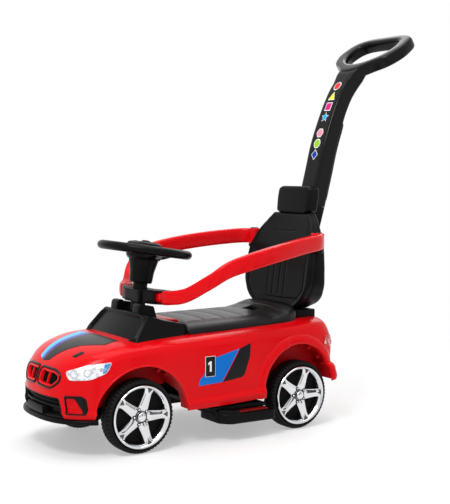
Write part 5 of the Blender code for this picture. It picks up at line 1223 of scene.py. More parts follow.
@dataclass
class Nose:
    """Grilles, corner vents, intake with its splitter, headlights and tail lights."""

    body: Body
    lamp: Outline = ((-0.0475, -0.0005), (-0.04, -0.0155), (0.002, -0.013), (0.0325, -0.0005), (0.0415, 0.019),
                     (-0.005, 0.014))
    tail_lamp: Outline = ((-0.024, -0.01), (0.024, -0.009), (0.022, 0.013), (-0.018, 0.013))
    vent_insert: Outline = ((0.0893, 0.1155), (0.095, 0.0868), (0.1185, 0.0868), (0.1045, 0.1155))

    def build(self) -> None:
        """Builds the fittings of both sides."""
        self.intake()
        for side in Side:
            self.grille(side)
            self.vent(side)
            self.lamps(side)

    def _made(self, skin: Skin, side: Side, name: str, finish: Finish, solids: tuple[str, ...] = ()) -> None:
        """Builds a fitting on its side."""
        skin.mirrored(side).build(f"{name}_{side.word}", finish, "body", solids, crease=40.0)

    def grille(self, side: Side) -> None:
        """A rounded black surround, the red ring inside it, its upright bar and the dark slats behind.

        Args:
            side: which side of the car.
        """
        fit, outline = self.body.fit, self.body.grille
        surround = fit.frame(Skin(), outline, 0.012, ((0.0, -0.01), (-0.0002, 0.001), (0.0006, 0.0022),
                                                      (0.002, 0.0027),
                                                      (0.0031, 0.0018), (0.0034, 0.0004), (0.0034, -0.01)), NOSE)
        self._made(surround, side, "grille_surround", BLACK_GLOSS, (f"grille_{side.word}",))
        ring = fit.frame(Skin(), outline, 0.012, ((0.0036, -0.0085), (0.0036, -0.0006), (0.0044, 0.0009),
                                                  (0.006, 0.001),
                                                  (0.0074, 0.0002), (0.008, -0.0012), (0.0086, -0.0085)), NOSE)
        bar = oblong(0.0346, 0.0374, 0.134, 0.162)
        fit.panel(ring, bar, 0.0008, ((0.0, -0.008), (0.0, -0.003), (0.0008, -0.002)), NOSE, rows=3)
        self._made(ring, side, "grille_inner", RED, (f"grille_ring_{side.word}",))
        slats = fit.panel(Skin(), moved_in(outline, 0.007), 0.006, ((0.0, -0.0088), (0.0, -0.008)), NOSE, rows=6)
        for x in np.arange(0.014, 0.068, 0.0065):
            low, high = 0.1335, min(0.16, 0.17 - 0.25 * max(0.0, x - 0.05))
            slat = oblong(x - 0.0009, x + 0.0009, low, high)
            fit.panel(slats, slat, 0.0004, ((0.0, -0.0085), (0.0, -0.0062), (0.0003, -0.0058)), NOSE, rows=2)
        self._made(slats, side, "grille_slats", BLACK_DEEP)

    def vent(self, side: Side) -> None:
        """A black corner frame with a bevelled outer edge round a red insert of slanted ribs.

        Args:
            side: which side of the car.
        """
        fit = self.body.fit
        outer = ring_of(self.body.vent, 0.003, 6, 8)
        inner = ring_of(np.vstack([self.vent_insert, [[0.0962, 0.1155]]]), 0.002, 6, 8)
        turn_out, turn_in = outer - outer.mean(0), inner - inner.mean(0)
        start = int(np.argmin(np.linalg.norm(turn_in - turn_out[0] * 0.6, axis=1)))
        inner = np.roll(inner, -start, axis=0)
        steps = ((0.0, -0.009), (0.0, 0.0006), (0.06, 0.0017), (0.5, 0.0022), (0.92, 0.0016), (1.0, 0.0004),
                 (1.0, -0.009))
        flat = np.array([outer * (1 - share) + inner * share for share, _ in steps])
        lift = np.broadcast_to(np.array([height for _, height in steps])[:, None], flat.shape[:2])
        frame = Skin().grid(fit.landed(flat, lift, NOSE), close_u=True, close_v=True)
        self._made(frame, side, "vent_frame", BLACK_GLOSS, (f"corner_vent_{side.word}",))
        insert = fit.panel(Skin(), self.vent_insert, 0.002, ((0.0, -0.006), (0.0002, -0.001), (0.0008, -0.0004)),
                           NOSE, rows=6)
        for k in range(6):
            base = 0.089 + 0.0042 * k
            left, right = 0.096 - 0.0009 * k, 0.1125 - 0.0016 * k
            rib = ((left, base), (right, base + 0.001), (right, base + 0.0026), (left, base + 0.0016))
            fit.panel(insert, rib, 0.0005, ((0.0, -0.0008), (0.0001, 0.0003), (0.0004, 0.0006)), NOSE, rows=2)
        self._made(insert, side, "vent_ribs", RED, (f"vent_insert_{side.word}",))

    def lamps(self, side: Side) -> None:
        """Lamp lenses with a rim, printed reflectors and a coloured end.

        Args:
            side: which side of the car.
        """
        fit = self.body.fit
        lens = fit.panel(Skin(), self.lamp, 0.006, ((-0.0003, -0.006), (-0.0002, 0.0004), (0.0003, 0.001),
                                                    (0.0012, 0.0013)),
                         LAMP_VIEW, crown=0.001, rows=16)
        self._made(lens, side, "headlight_lens", LAMP, (f"headlight_{side.word}",))
        for name, (u, v), radius in (("outer", (-0.029, -0.0035), 0.0085), ("inner", (-0.004, -0.0005), 0.0078)):
            circle = np.array([u, v]) + oval(radius, radius, 2.0, 10)
            ring = fit.frame(Skin(), circle, radius * 0.5, ((0.0, 0.001), (0.0, 0.00235), (0.0009, 0.0027),
                                                            (0.002, 0.00235), (0.0024, 0.001)), LAMP_VIEW)
            self._made(ring, side, f"headlight_{name}_ring", LAMP_RING)
        tip = ((0.0235, -0.0025), (0.0318, 0.0008), (0.0398, 0.0178), (0.0275, 0.016))
        skin = fit.panel(Skin(), tip, 0.003, ((0.0, 0.0006), (0.0002, 0.0019), (0.0008, 0.0021)), LAMP_VIEW,
                         crown=0.0002, rows=6)
        self._made(skin, side, "headlight_tip", LAMP_BLUE)
        rear = fit.panel(Skin(), self.tail_lamp, 0.006, ((-0.0002, -0.006), (-0.0001, 0.0008), (0.0005, 0.0014),
                                                         (0.0014, 0.0016)),
                         TAIL_VIEW, crown=0.0008, rows=10)
        self._made(rear, side, "tail_light_lens", TAIL_LAMP, (f"tail_light_{side.word}",))

    def intake(self) -> None:
        """The black insert under the grilles: a recessed pocket, bars across it, a bare plate and the splitter lip.

        The lip's rings follow the hem's outline, and its section is (distance out, height).
        """
        fit = self.body.fit
        outline = ((-0.077, 0.114), (-0.0885, 0.0752), (0.0885, 0.0752), (0.077, 0.114))
        skin = fit.frame(Skin(), outline, 0.005, ((0.0, -0.0135), (0.0001, -0.0012), (0.0006, -0.0002),
                                                  (0.002, -0.0004), (0.003, -0.0016), (0.0034, -0.0135)), NOSE)
        fit.panel(skin, outline, 0.005, ((0.001, -0.016), (0.001, -0.0132)), NOSE, rows=8)
        for low, high, reach, wide in ((0.0945, 0.0975, 0.0055, 0.0815), (0.1035, 0.105, 0.0095, 0.079)):
            across = (np.linspace(0.0, 1.0, 60) * 2 - 1) * wide
            section = ((-0.013, low), (-reach, low), (-reach + 0.0008, low + 0.0012),
                       (-reach + 0.0008, high - 0.0012), (-reach, high), (-0.013, high))
            flat = np.array([[(x, z) for _, z in section] for x in across])
            lift = np.broadcast_to(np.array([out for out, _ in section]), flat.shape[:2])
            skin.tube(fit.landed(flat, lift, NOSE))
        plate = oblong(-0.034, 0.034, 0.0765, 0.0925)
        fit.panel(skin, plate, 0.0015, ((0.0, -0.013), (0.0, 0.0012), (0.0006, 0.0018)), NOSE, rows=4)
        angle = np.linspace(-1.0, 1.0, 161)
        turn = np.abs(angle) * math.acos((0.092 / 0.164) ** 1.3)
        section = softened(((-0.01, 0.066), (-0.002, 0.0648), (0.0048, 0.066), (0.0056, 0.069), (0.0042, 0.0735),
                            (0.001, 0.0752), (-0.01, 0.0752)), 0.0012)
        x = np.sign(angle) * 0.1435 * np.sin(turn) ** (2 / 2.6)
        y = -0.157 * np.cos(turn) ** (2 / 2.6)
        centre = np.stack([x, y, np.zeros_like(x)], 1)
        ahead = np.gradient(centre, axis=0)
        outward = np.stack([ahead[:, 1], -ahead[:, 0], np.zeros_like(x)], 1)
        outward /= np.linalg.norm(outward, axis=1)[:, None]
        skin.tube(centre[:, None] + section[None, :, :1] * outward[:, None] + section[None, :, 1:] * UP)
        skin.build("intake_and_splitter", BLACK, "body", ("intake_insert",), crease=45.0)


# Cowl and seat

@dataclass
class Cowl:
    """Windshield cowl with its raised border, running back beside the column to the seat."""

    foot: Outline = ((0.0, -0.012), (0.06, -0.0085), (0.1095, 0.0012), (0.107, 0.06), (0.1045, 0.1255))
    crown: Outline = ((0.0, 0.0345), (0.05, 0.0368), (0.0908, 0.0408), (0.0895, 0.08), (0.088, 0.1255))
    crown_z: tuple[float, ...] = (0.261, 0.2608, 0.2595, 0.248, 0.2385)

    @staticmethod
    def _bowed(row: Array) -> Array:
        """A row whose front, from its first value to its third, follows a parabola in eight steps."""
        share = np.linspace(0.0, 1.0, 9)[:-1]
        return np.concatenate([row[0] + (row[2] - row[0]) * share ** 2, row[2:]])

    def build(self) -> None:
        """Builds the cowl, its tabs and the red panel behind the column.

        The plan's foot and crown lines share one parameter, and the surface between them runs up in
        straight lines and rounds off at the crown. The windshield's recess follows the distance from
        a rounded rectangle drawn on it, with a bell round its edge.
        """
        skin = Skin()
        share = np.linspace(0.0, 1.0, 9)[:-1]
        order = np.concatenate([2 * share, (2.0, 3.0, 4.0)])
        place = np.concatenate([np.linspace(0, 1.75, 70), np.linspace(1.75, 2.25, 22)[1:],
                                np.linspace(2.25, 4, 40)[1:]])
        width = 0.11 * ridge(place, 2.0, 0.5) + 0.05 * smooth(2.0 - place, 0.0, 0.4) + 0.002
        foot, crown = (np.stack([blurred(place, order, np.concatenate([line[2, 0] * share, line[2:, 0]]), width),
                                 blurred(place, order, self._bowed(line[:, 1]), width)], 1)
                                 for line in (np.array(self.foot), np.array(self.crown)))
        top = blurred(place, order, self._bowed(np.array(self.crown_z)), width)
        foot, crown, top = (np.concatenate([half, half[-1:0:-1] * np.array(sign)]) for half, sign in
                            ((foot, (-1, 1)), (crown, (-1, 1)), (top, 1)))
        bend = np.linspace(0, math.pi / 2, 7)[1:]
        up = np.concatenate([np.linspace(0.0, 0.94, 56), 1 - 0.06 * (1 - np.sin(bend))])
        round_off = np.concatenate([np.zeros(56), 0.003 * (1 - np.cos(bend))])
        rings = foot[None] * (1 - up[:, None, None]) + crown[None] * up[:, None, None]
        middle = np.array([0.0, 0.085])
        inward = (middle - rings) / np.linalg.norm(middle - rings, axis=-1, keepdims=True)
        rings = rings + inward * round_off[:, None, None]
        z = 0.208 * (1 - up[:, None]) + top[None] * up[:, None]
        solid = np.concatenate([rings, z[..., None]], -1)
        ahead = solid[:, :, 1] < 0.05
        height = up[:, None] * np.ones_like(z)
        aside = np.abs(solid[..., 0]) * 0.1 / (0.1095 - 0.019 * height) - (0.09 - 0.013)
        along = np.abs(height - 0.51) * 0.07 - (0.0285 - 0.013)
        distance = (np.hypot(np.maximum(aside, 0.0), np.maximum(along, 0.0))
                    + np.minimum(np.maximum(aside, along), 0.0) - 0.013)
        slope = np.array([0.0, 0.735, -0.678])
        recess = 0.0038 * smooth(-distance, 0.0, 0.0026) - 0.0022 * ridge(distance, 0.003, 0.0026)
        solid += (recess * ahead)[..., None] * slope
        below = solid[:1].copy()
        below[..., 2] = 0.19
        last = solid[-1]
        heights_y, heights_z = np.array([0.03, 0.044, 0.08, 0.1255]), np.array([0.2612, 0.2595, 0.248, 0.2385])
        shrink = np.linspace(1, 0, 13)[1:, None, None]
        lid = middle + (last[None, :, :2] - middle) * shrink
        lid_z = blurred(lid[..., 1], heights_y, heights_z, 0.006) + 0.0006 * (1 - shrink[..., 0] ** 2)
        lid = np.concatenate([lid, lid_z[..., None]], -1)
        skin.grid(np.concatenate([below, solid, lid]), close_v=True).fan(below[0])
        profile = ((0.036, 0.245), (0.0395, 0.275), (0.0435, 0.279), (0.0535, 0.279), (0.059, 0.2733),
                   (0.0745, 0.2733), (0.0825, 0.247), (0.0825, 0.243))
        tabs = Skin()
        for x in (0.045, -0.045):
            tabs.block(profile, 0.003, -0.013, 0.013, 0.0018, (x, 0, 0), (0, 1, 0), (0, 0, 1), (1, 0, 0))
        tabs.build("column_tabs", BLACK, "body")
        notch = Skin().block(oblong(-0.052, 0.052, 0.088, 0.14), 0.002, 0.235, 0.3, 0.0004, *LEVEL)
        skin.build("windshield_and_sides", BLACK, "body", ("windshield_cowl",), crease=42.0, cuts=(notch,))
        patch = Skin().block(((-0.051, -0.017), (0.051, -0.017), (0.074, 0.0172), (-0.074, 0.0172)), 0.0045, -0.0075,
                             0.0, 0.0018, (0, 0.1062, 0.244), (1, 0, 0), (0, 0.9976, 0.0698), (0, -0.0698, 0.9976))
        patch.build("deck_cover", RED, "body", ("deck_panel",))


@dataclass
class Seat:
    """Seat lid: a crowned cover with curved pleats, side seams and a finger recess."""

    stations: tuple[float, ...] = (0.1275, 0.2, 0.27, 0.345, 0.375, 0.395, 0.406, 0.411)
    crown: tuple[float, ...] = (0.2385, 0.2398, 0.2405, 0.2415, 0.247, 0.254, 0.258, 0.2575)
    front: float = 0.1277
    rear: float = 0.411
    half: float = 0.1045
    wall: float = 0.003

    def build(self) -> None:
        """Builds the lid.

        Height over the plan is the crown, minus a drop that grows from the shoulder to the skirt by
        a rounded profile, minus the pleats and seams, which are bells round their lines.
        """
        profile_in = np.array([0.0, 0.0, 0.0008, 0.003, 0.007, 0.0125, 0.019, 0.027, 0.036])
        profile_drop = np.array([1.0, 0.016, 0.0125, 0.0097, 0.0069, 0.0044, 0.0025, 0.001, 0.0])
        u = np.concatenate([profile_in, np.linspace(0.036, self.half, 76)[1:]])
        across = np.concatenate([-self.half + u, (self.half - u)[::-1][1:]])
        drop_u = np.concatenate([profile_drop, np.zeros(75)])
        drop_u = np.concatenate([drop_u, drop_u[::-1][1:]])
        extra = np.array([0.0212, 0.0221, 0.0222, -0.0212, -0.0221, -0.0222])
        across, drop_u = self._with(across, drop_u, extra)
        ends_in = np.array([0.0, 0.0, 0.0005, 0.0016, 0.0034, 0.006, 0.009])
        front_drop = np.array([1.0, 0.0062, 0.0042, 0.0024, 0.001, 0.0003, 0.0])
        rear_drop = np.array([1.0, 0.011, 0.007, 0.004, 0.0018, 0.0006, 0.0])
        y = np.concatenate([self.front + ends_in, np.linspace(self.front + 0.0095, self.rear - 0.0095, 170),
                            (self.rear - ends_in)[::-1]])
        drop_v = np.concatenate([front_drop, np.zeros(170), rear_drop[::-1]])
        y, drop_v = self._with(y, drop_v, np.array([0.3462, 0.3471, 0.3472, 0.3748, 0.3749, 0.3758]))
        taper = blurred(y, np.array([0.0, 0.37, 0.389, 0.404, 0.411]), np.array([1.0, 1.0, 0.985, 0.935, 0.88]),
                        0.004)
        x_grid, y_grid = across[None] * taper[:, None], np.repeat(y[:, None], len(across), 1)
        crown = blurred(y, np.array(self.stations), np.array(self.crown), 0.008)[:, None]
        top = crown + 0.0015 * (1 - (across[None] / self.half) ** 2)
        drop = np.minimum(np.sqrt(drop_u[None] ** 2 + drop_v[:, None] ** 2), 1.0)
        shape = x_grid / (self.half * taper[:, None])
        seams = (0.148, 0.198, 0.248, 0.2975)
        bow = y_grid + 1.98 * x_grid ** 2
        pleats = sum(ridge(bow, at, 0.0013) for at in seams)
        welt = sum(ridge(bow, at - 0.0034, 0.0019) for at in seams)
        field_mask = smooth(0.7 - np.abs(shape), 0.0, 0.03) * smooth(y_grid, 0.136, 0.14)
        puff = 0.0005 * np.cos((bow - 0.148) * math.tau / 0.05) * smooth(0.33 - y_grid, 0.0, 0.012)
        side_seam = ridge(np.abs(shape), 0.72, 0.012) * smooth(0.378 - y_grid, 0.0, 0.012)
        rear_seam = ridge(y_grid + 2.0 * x_grid ** 2, 0.384, 0.0014) * (np.abs(shape) < 0.72)
        z = top - drop + (0.0009 * welt - 0.0012 * pleats - puff) * field_mask - 0.001 * (side_seam + rear_seam)
        inside = (np.abs(x_grid) < 0.0217) & (y_grid > 0.3467) & (y_grid < 0.3753)
        z = np.where(inside, 0.2352, z)
        floor = blurred(y_grid, np.array([0.1, 0.129, 0.135, 0.2, 0.35, 0.44]),
                        np.array([0.2222, 0.2222, 0.212, 0.2145, 0.22, 0.225]), 0.002)
        z = np.maximum(z, floor)
        outer = np.stack([x_grid, y_grid, z], -1)
        scale = (self.half - self.wall) / self.half
        depth = self.rear - self.front
        inner_y = self.front + self.wall + (y_grid - self.front) * (depth - 2 * self.wall) / depth
        thin = np.where(z <= floor + 1e-9, 0.0, np.minimum(self.wall, np.maximum(z - floor - 0.0002, 0.0)))
        inner = np.stack([x_grid * scale, inner_y, z - thin], -1)
        Skin().wall(outer, inner).build("seat_cover", SEAT, "seat", ("seat_lid",), crease=48.0)

    @staticmethod
    def _with(lines: Array, drops: Array, extra: Array) -> tuple[Array, Array]:
        """Adds grid lines where a pocket's wall stands, with the drop read between the old lines.

        Args:
            lines: the old lines.
            drops: the drop at each.
            extra: the new lines.

        Returns:
            All lines in order, and the drop at each.
        """
        more = np.interp(extra, lines, drops)
        order = np.argsort(np.concatenate([lines, extra]), kind="stable")
        return np.concatenate([lines, extra])[order], np.concatenate([drops, more])[order]


# Backrest and headrest

@dataclass
class Backrest:
    """Front panel with its seams, rear shell with the post, headrest and plinth."""

    rows: tuple[tuple[float, float, float, float], ...] = (
        (0.2465, 0.062, 0.4165, 0.464), (0.256, 0.086, 0.417, 0.475), (0.272, 0.104, 0.4185, 0.477),
        (0.3, 0.118, 0.422, 0.473), (0.34, 0.12, 0.427, 0.471), (0.38, 0.1145, 0.434, 0.473),
        (0.41, 0.1005, 0.445, 0.477), (0.435, 0.082, 0.455, 0.482), (0.455, 0.062, 0.463, 0.488),
    )
    panel_thick: float = 0.0117

    def build(self) -> None:
        """Builds every piece of the backrest."""
        self.panel()
        self.shell()
        self.headrest()
        plinth = Skin().block(oblong(-0.086, 0.086, 0.42, 0.4705), 0.004, 0.224, 0.246, 0.0022, *LEVEL)
        plinth.build("backrest_foot", BLACK, "body", ("backrest_plinth",))

    def _column(self, k: int, z: Array) -> Array:
        """One column of the table at heights z, blurred."""
        table = np.array(self.rows)
        return blurred(z, table[:, 0], table[:, k], 0.007)

    def _rooms(self, bottom: float) -> Skin:
        """Room round both rail bosses.

        Args:
            bottom: height at which it starts.

        Returns:
            A skin to cut with.
        """
        rooms = Skin()
        for side in Side:
            disc = turned(((0.016, bottom), (0.016, 0.46)), 40)
            rooms.tube(disc + np.array([side.value * RAIL_PIN[0], RAIL_PIN[1], 0.0]))
        return rooms

    def panel(self) -> None:
        """The front panel: a dished face with a rolled edge, two upright channels, a curved seam and side seams.

        The face lies at the table's depth, plus a dish across, plus a quarter-circle roll in the
        last 7 mm to the edge, plus bells for the seams.
        """
        roll = 0.007
        turn = np.linspace(0, math.pi / 2, 7)
        edge_in = roll * (1 - np.cos(turn))
        edge_back = roll * (1 - np.sin(turn))
        v_low, v_high = 0.2465, 0.455
        v = np.concatenate([v_low + edge_in, np.linspace(v_low + 0.0085, v_high - 0.0085, 150),
                            (v_high - edge_in)[::-1]])
        back_v = np.concatenate([edge_back, np.zeros(150), edge_back[::-1]])
        inner = np.linspace(-1, 1, 150)
        wide = self._column(1, v)[:, None]
        x = np.concatenate([-wide + edge_in[None, :-1], inner[None] * (wide - roll),
                            (wide - edge_in[None, :-1])[:, ::-1]], 1)
        back_u = np.concatenate([edge_back[:-1], np.zeros(150), edge_back[:-1][::-1]])
        z = np.repeat(v[:, None], x.shape[1], 1)
        share = x / wide
        near = self._column(2, v)[:, None]
        back = np.minimum(np.sqrt(back_u[None] ** 2 + back_v[:, None] ** 2), roll)
        dish = 0.003 * (1 - share ** 2)
        channel = sum(ridge(x, at, 0.0016) for at in (-0.03, -0.011, 0.011, 0.03))
        channel = channel * smooth(z, 0.27, 0.276) * smooth(0.372 - z, 0.0, 0.01)
        curve = 0.414 + 3.0 * np.maximum(np.abs(x) - 0.006, 0) ** 2
        yoke = ridge(z, curve, 0.0015) * (np.abs(x) < 0.04)
        outline = 0.1 - 0.35 * np.maximum(z - 0.375, 0) - 0.9 * np.maximum(0.29 - z, 0)
        piping = ridge(np.abs(x), outline, 0.0017) * smooth(z, 0.262, 0.268) * smooth(0.44 - z, 0.0, 0.006)
        sill = ridge(z, 0.2665 + 0.6 * x ** 2, 0.0017) * (np.abs(x) < outline)
        bolster = 0.0014 * smooth(np.abs(x) - outline, -0.004, 0.01)
        y = near + dish + back + 0.0013 * (channel + yoke) + 0.0014 * (piping + sill) - bolster
        face = np.stack([x, y, z], -1)
        rear = np.stack([x, np.repeat(near + self.panel_thick, x.shape[1], 1), z], -1)
        Skin().wall(face, rear).build("backrest_pad_panel", BLACK, "body", ("backrest_front",), crease=60.0,
                                      cuts=(self._rooms(0.3714),))

    def shell(self) -> None:
        """The rear shell: rounded level sections at the table's depths, with rolled ends, and the leaning post."""
        rise, fall = np.linspace(0, math.pi / 2, 5), np.linspace(math.pi / 2, 0, 5)
        v = np.concatenate([0.2465 + 0.004 * (1 - np.cos(rise)), np.linspace(0.2515, 0.45, 70),
                            0.455 - 0.004 * (1 - np.cos(fall))])
        shrink = np.concatenate([0.004 * (1 - np.sin(rise)), np.zeros(70), 0.004 * (1 - np.sin(fall))])
        half, near, far = self._column(1, v) - shrink, self._column(2, v) + 0.012, self._column(3, v) - shrink
        skin = Skin().tube(np.concatenate([raised(ring_of(oblong(-h, h, n, f), 0.0095, 7, 8), z)
                                           for h, n, f, z in zip(half, near, far, v)]))
        low, high = np.array([0.456, 0.234]), np.array(STEM_FOOT) - np.array([0.0, 0.001])
        line = low + (high - low) * np.linspace(0, 1, 24)[:, None]
        skin.tube(leaning(ring_of(middled(0.0265, 0.02), 0.006, 6, 4), line))
        stub = np.array([[0.52, 0.455], [0.5358, 0.52]])
        skin.tube(leaning(ring_of(middled(0.0198, 0.0138), 0.003, 4, 2), stub))
        for side in Side:
            x, y = side.value * RAIL_PIN[0], RAIL_PIN[1]
            knob = turned(softened(((0.0, 0.372), (0.012, 0.372), (0.0135, 0.374), (0.0135, 0.3797), (0.0, 0.3797)),
                                   0.0012), 32)
            skin.tube(knob + np.array([x, y, 0.0]))
            arm = Skin().block(oblong(0.07, RAIL_PIN[0], 0.4465, 0.46), 0.003, 0.3725, 0.3792, 0.0012, *LEVEL)
            skin.tube(other_side(arm.points[0].reshape(10, -1, 3), side))
        skin.build("backrest_rear", BLACK, "body", ("backrest_shell",), cuts=(self._rooms(0.3797),))
        for side in Side:
            x, y = side.value * RAIL_PIN[0], RAIL_PIN[1]
            pin = turned(softened(((0.0, 0.4172), (0.008, 0.4172), (0.0096, 0.4164), (0.0096, 0.4153),
                                   (0.005, 0.4153), (0.005, 0.3743), (0.0, 0.3743)), 0.0005), 32)
            Skin().tube(pin + np.array([x, y, 0.0])).build(f"rail_pin_cap_{side.word}", BLACK_GLOSS, "body",
                                                           (f"rail_pin_{side.word}",))

    def headrest(self) -> None:
        """A rounded block that leans back, drawn in at both ends by a quarter circle, notched for the post."""
        z0, z1, roll = 0.4553, 0.515, 0.0085
        turn = np.linspace(0, math.pi / 2, 8)
        v = np.concatenate([z0 + roll * (1 - np.cos(turn)) * 0.8, np.linspace(z0 + 0.01, z1 - 0.011, 26),
                            z1 - roll * (1 - np.cos(turn[::-1]))])
        pull = np.concatenate([roll * 0.8 * (1 - np.sin(turn)), np.zeros(26), roll * (1 - np.sin(turn[::-1]))])
        half = blurred(v, np.array([z0, 0.462, 0.49, 0.508, z1]), np.array([0.054, 0.0575, 0.059, 0.057, 0.053]),
                       0.003) - pull
        back = (v - z0) * 0.12
        rings = np.concatenate([
            raised(ring_of(oblong(-h, h, 0.465 + b + p * 0.6, 0.496 + b - p * 0.4), 0.0085, 8, 8), z)
            for h, b, p, z in zip(half, back, pull, v)])
        front = rings[..., 1] < 0.478 + 0.12 * (rings[..., 2] - z0)
        rings[..., 1] -= np.where(front, 0.0012 * (1 - (rings[..., 0] / 0.06) ** 2), 0.0)
        slope = math.tan(POST_LEAN)
        ends = np.array([[STEM_FOOT[0] - 0.0516 * slope, 0.42], [STEM_FOOT[0] + 0.0884 * slope, 0.56]])
        room = Skin().tube(leaning(ring_of(middled(0.0268, 0.0203), 0.005, 5, 2), ends))
        Skin().tube(rings).build("headrest_block", BLACK, "body", ("headrest",), cuts=(room,))


# Steering

@dataclass
class Steering:
    """Steering wheel, its cone and control pad, and the column's bracket."""

    rim: float = 0.087
    tube: float = 0.011
    bracket: tuple[float, float] = (0.2915, 0.0275)

    @staticmethod
    def _on_axis(points: Array) -> Array:
        """Points made round Z, stood on the steering axis."""
        return set_at(points, STEERING_HUB, *STEERING_AXES)

    def build(self) -> None:
        """Builds the wheel, cone, pad, horn button, column sleeve and bracket."""
        self.wheel()
        self.pad()
        self.column()

    def wheel(self) -> None:
        """The rim is a tube round the axis with faint finger waves inside, carried by three tapering arms."""
        angle, turn = np.meshgrid(np.arange(160) * math.tau / 160, np.arange(22) * math.tau / 22, indexing="ij")
        thick = self.tube * (1 + 0.02 * np.cos(24 * angle) * (np.cos(turn) < -0.2))
        radius = self.rim + thick * np.cos(turn)
        rim = np.stack([radius * np.cos(angle), radius * np.sin(angle), 0.85 * thick * np.sin(turn)], -1)
        skin = Skin().grid(self._on_axis(rim), close_u=True, close_v=True)
        along = np.linspace(0.0, 1.0, 26)
        section = oval(1.0, 1.0, 3.0, 28)
        for heading in (0.0, math.pi / 2, math.pi):
            reach = 0.012 + along * (self.rim - 0.014)
            half = 0.0205 - 0.0095 * smooth(along, 0.0, 0.75) + 0.002 * smooth(along, 0.85, 1.0)
            thick_s = 0.0068 - 0.0012 * along
            drop = 0.0048 * smooth(0.075 - reach, 0.0, 0.045)
            arm = np.stack([reach[:, None] + 0 * section[None, :, 0], half[:, None] * section[None, :, 0],
                            -0.0018 - drop[:, None] + (thick_s + drop)[:, None] * section[None, :, 1]], -1)
            c, s = math.cos(heading), math.sin(heading)
            arm = np.stack([arm[..., 0] * c - arm[..., 1] * s, arm[..., 0] * s + arm[..., 1] * c, arm[..., 2]], -1)
            skin.tube(self._on_axis(arm))
        hub = turned(softened(((0.0, -0.02), (0.033, -0.02), (0.0372, -0.014), (0.0374, -0.003), (0.0345, 0.004),
                               (0.0, 0.0044)), 0.0022, 6), 72)
        skin.tube(self._on_axis(hub))
        skin.build("steering_wheel_rim", BLACK, "steering", ("steering_wheel",), crease=45.0)
        cone = turned(softened(((0.0, -0.061), (0.017, -0.061), (0.017, -0.068), (0.0218, -0.068), (0.0236, -0.0655),
                                (0.0254, -0.044), (0.0296, -0.026), (0.0312, -0.019), (0.0, -0.019)), 0.0012, 5), 72)
        Skin().tube(self._on_axis(cone)).build("steering_hub_cone", BLACK, "steering", ("steering_cone",),
                                               crease=45.0)

    def pad(self) -> None:
        """The raised pad with a domed top, a groove round it and two rows of small keys beside the horn button."""
        corners = ((-0.034, -0.03), (0.034, -0.03), (0.03, 0.022), (0.012, 0.032), (-0.012, 0.032), (-0.03, 0.022))
        levels = ((0.0, 0.0046), (0.0, 0.0095), (0.0006, 0.0115), (0.0018, 0.0132), (0.0038, 0.0145),
                  (0.0064, 0.0155), (0.0072, 0.015), (0.008, 0.0151), (0.0088, 0.016))
        rings = np.concatenate([raised(ring_of(moved_in(corners, inset), max(0.014 - inset, 0.001), 8, 6), z)
                                for inset, z in levels])
        share = np.linspace(1, 0, 8)[1:, None, None]
        dome = np.broadcast_to(0.016 + 0.001 * (1 - share ** 2), (7, rings.shape[1], 1))
        face = np.concatenate([rings[-1:, :, :2] * share, dome], -1)
        skin = Skin().grid(self._on_axis(np.concatenate([rings, face])), close_v=True).fan(self._on_axis(rings[0]))
        well = Skin().tube(self._on_axis(turned(((0.0099, 0.01), (0.0099, 0.03)), 40)))
        skin.build("control_pad", BLACK, "steering", ("horn_pad",), crease=50.0, cuts=(well,))
        keys = Skin()
        for x in (-0.02, 0.02):
            for y in (-0.012, -0.002, 0.008):
                centre = self._on_axis(np.array([[x, y, 0.0]]))[0]
                keys.block(middled(0.0036, 0.0028), 0.0016, 0.015, 0.0172, 0.0006, centre, *STEERING_AXES, arc=4)
        keys.build("pad_keys", BLACK_GLOSS, "steering")
        button = turned(softened(((0.0, 0.0202), (0.006, 0.0198), (0.0083, 0.0188), (0.0094, 0.0172),
                                  (0.0094, 0.0135), (0.0, 0.0135)), 0.0009, 5), 48)
        Skin().tube(self._on_axis(button)).build("horn_cap", BLACK_GLOSS, "horn", ("horn_button",), "red_plastic",
                                                 crease=50.0)

    def column(self) -> None:
        """The column's sleeve with a collar, and the cross bracket with a fork at each end."""
        sleeve = turned(softened(((0.0, -0.129), (0.0155, -0.129), (0.0155, -0.077), (0.015, -0.075), (0.015, -0.064),
                                  (0.0, -0.064)), 0.0006), 56)
        Skin().tube(self._on_axis(sleeve)).build("column_tube", BLACK, "body", ("column_sleeve",))
        middle, height = self.bracket
        skin = Skin().block(oblong(-0.03, 0.03, 0.054, 0.095), 0.004, middle - height / 2 + 0.0006,
                            middle + height / 2 - 0.0006, 0.0014, *LEVEL)
        for side in Side:
            arm = np.array(((0.02, 0.058), (0.062, 0.067), (0.079, 0.08), (0.079, 0.104), (0.056, 0.1), (0.02, 0.09)))
            arm = arm * np.array([side.value, 1.0])
            for low, high in ((middle - height / 2, middle - 0.0108), (middle + 0.0108, middle + height / 2)):
                skin.block(arm, 0.004, low, high, 0.001, *LEVEL)
            web = np.array(((0.02, 0.059), (0.0605, 0.068), (0.067, 0.0705), (0.048, 0.07), (0.047, 0.095),
                            (0.02, 0.089)))
            skin.block(web * np.array([side.value, 1.0]), 0.001, middle - 0.0112, middle + 0.0112, 0.0003, *LEVEL)
        skin.build("rail_fork", BLACK, "body", ("rail_bracket",), crease=45.0)


# Rails, footrests and push handle

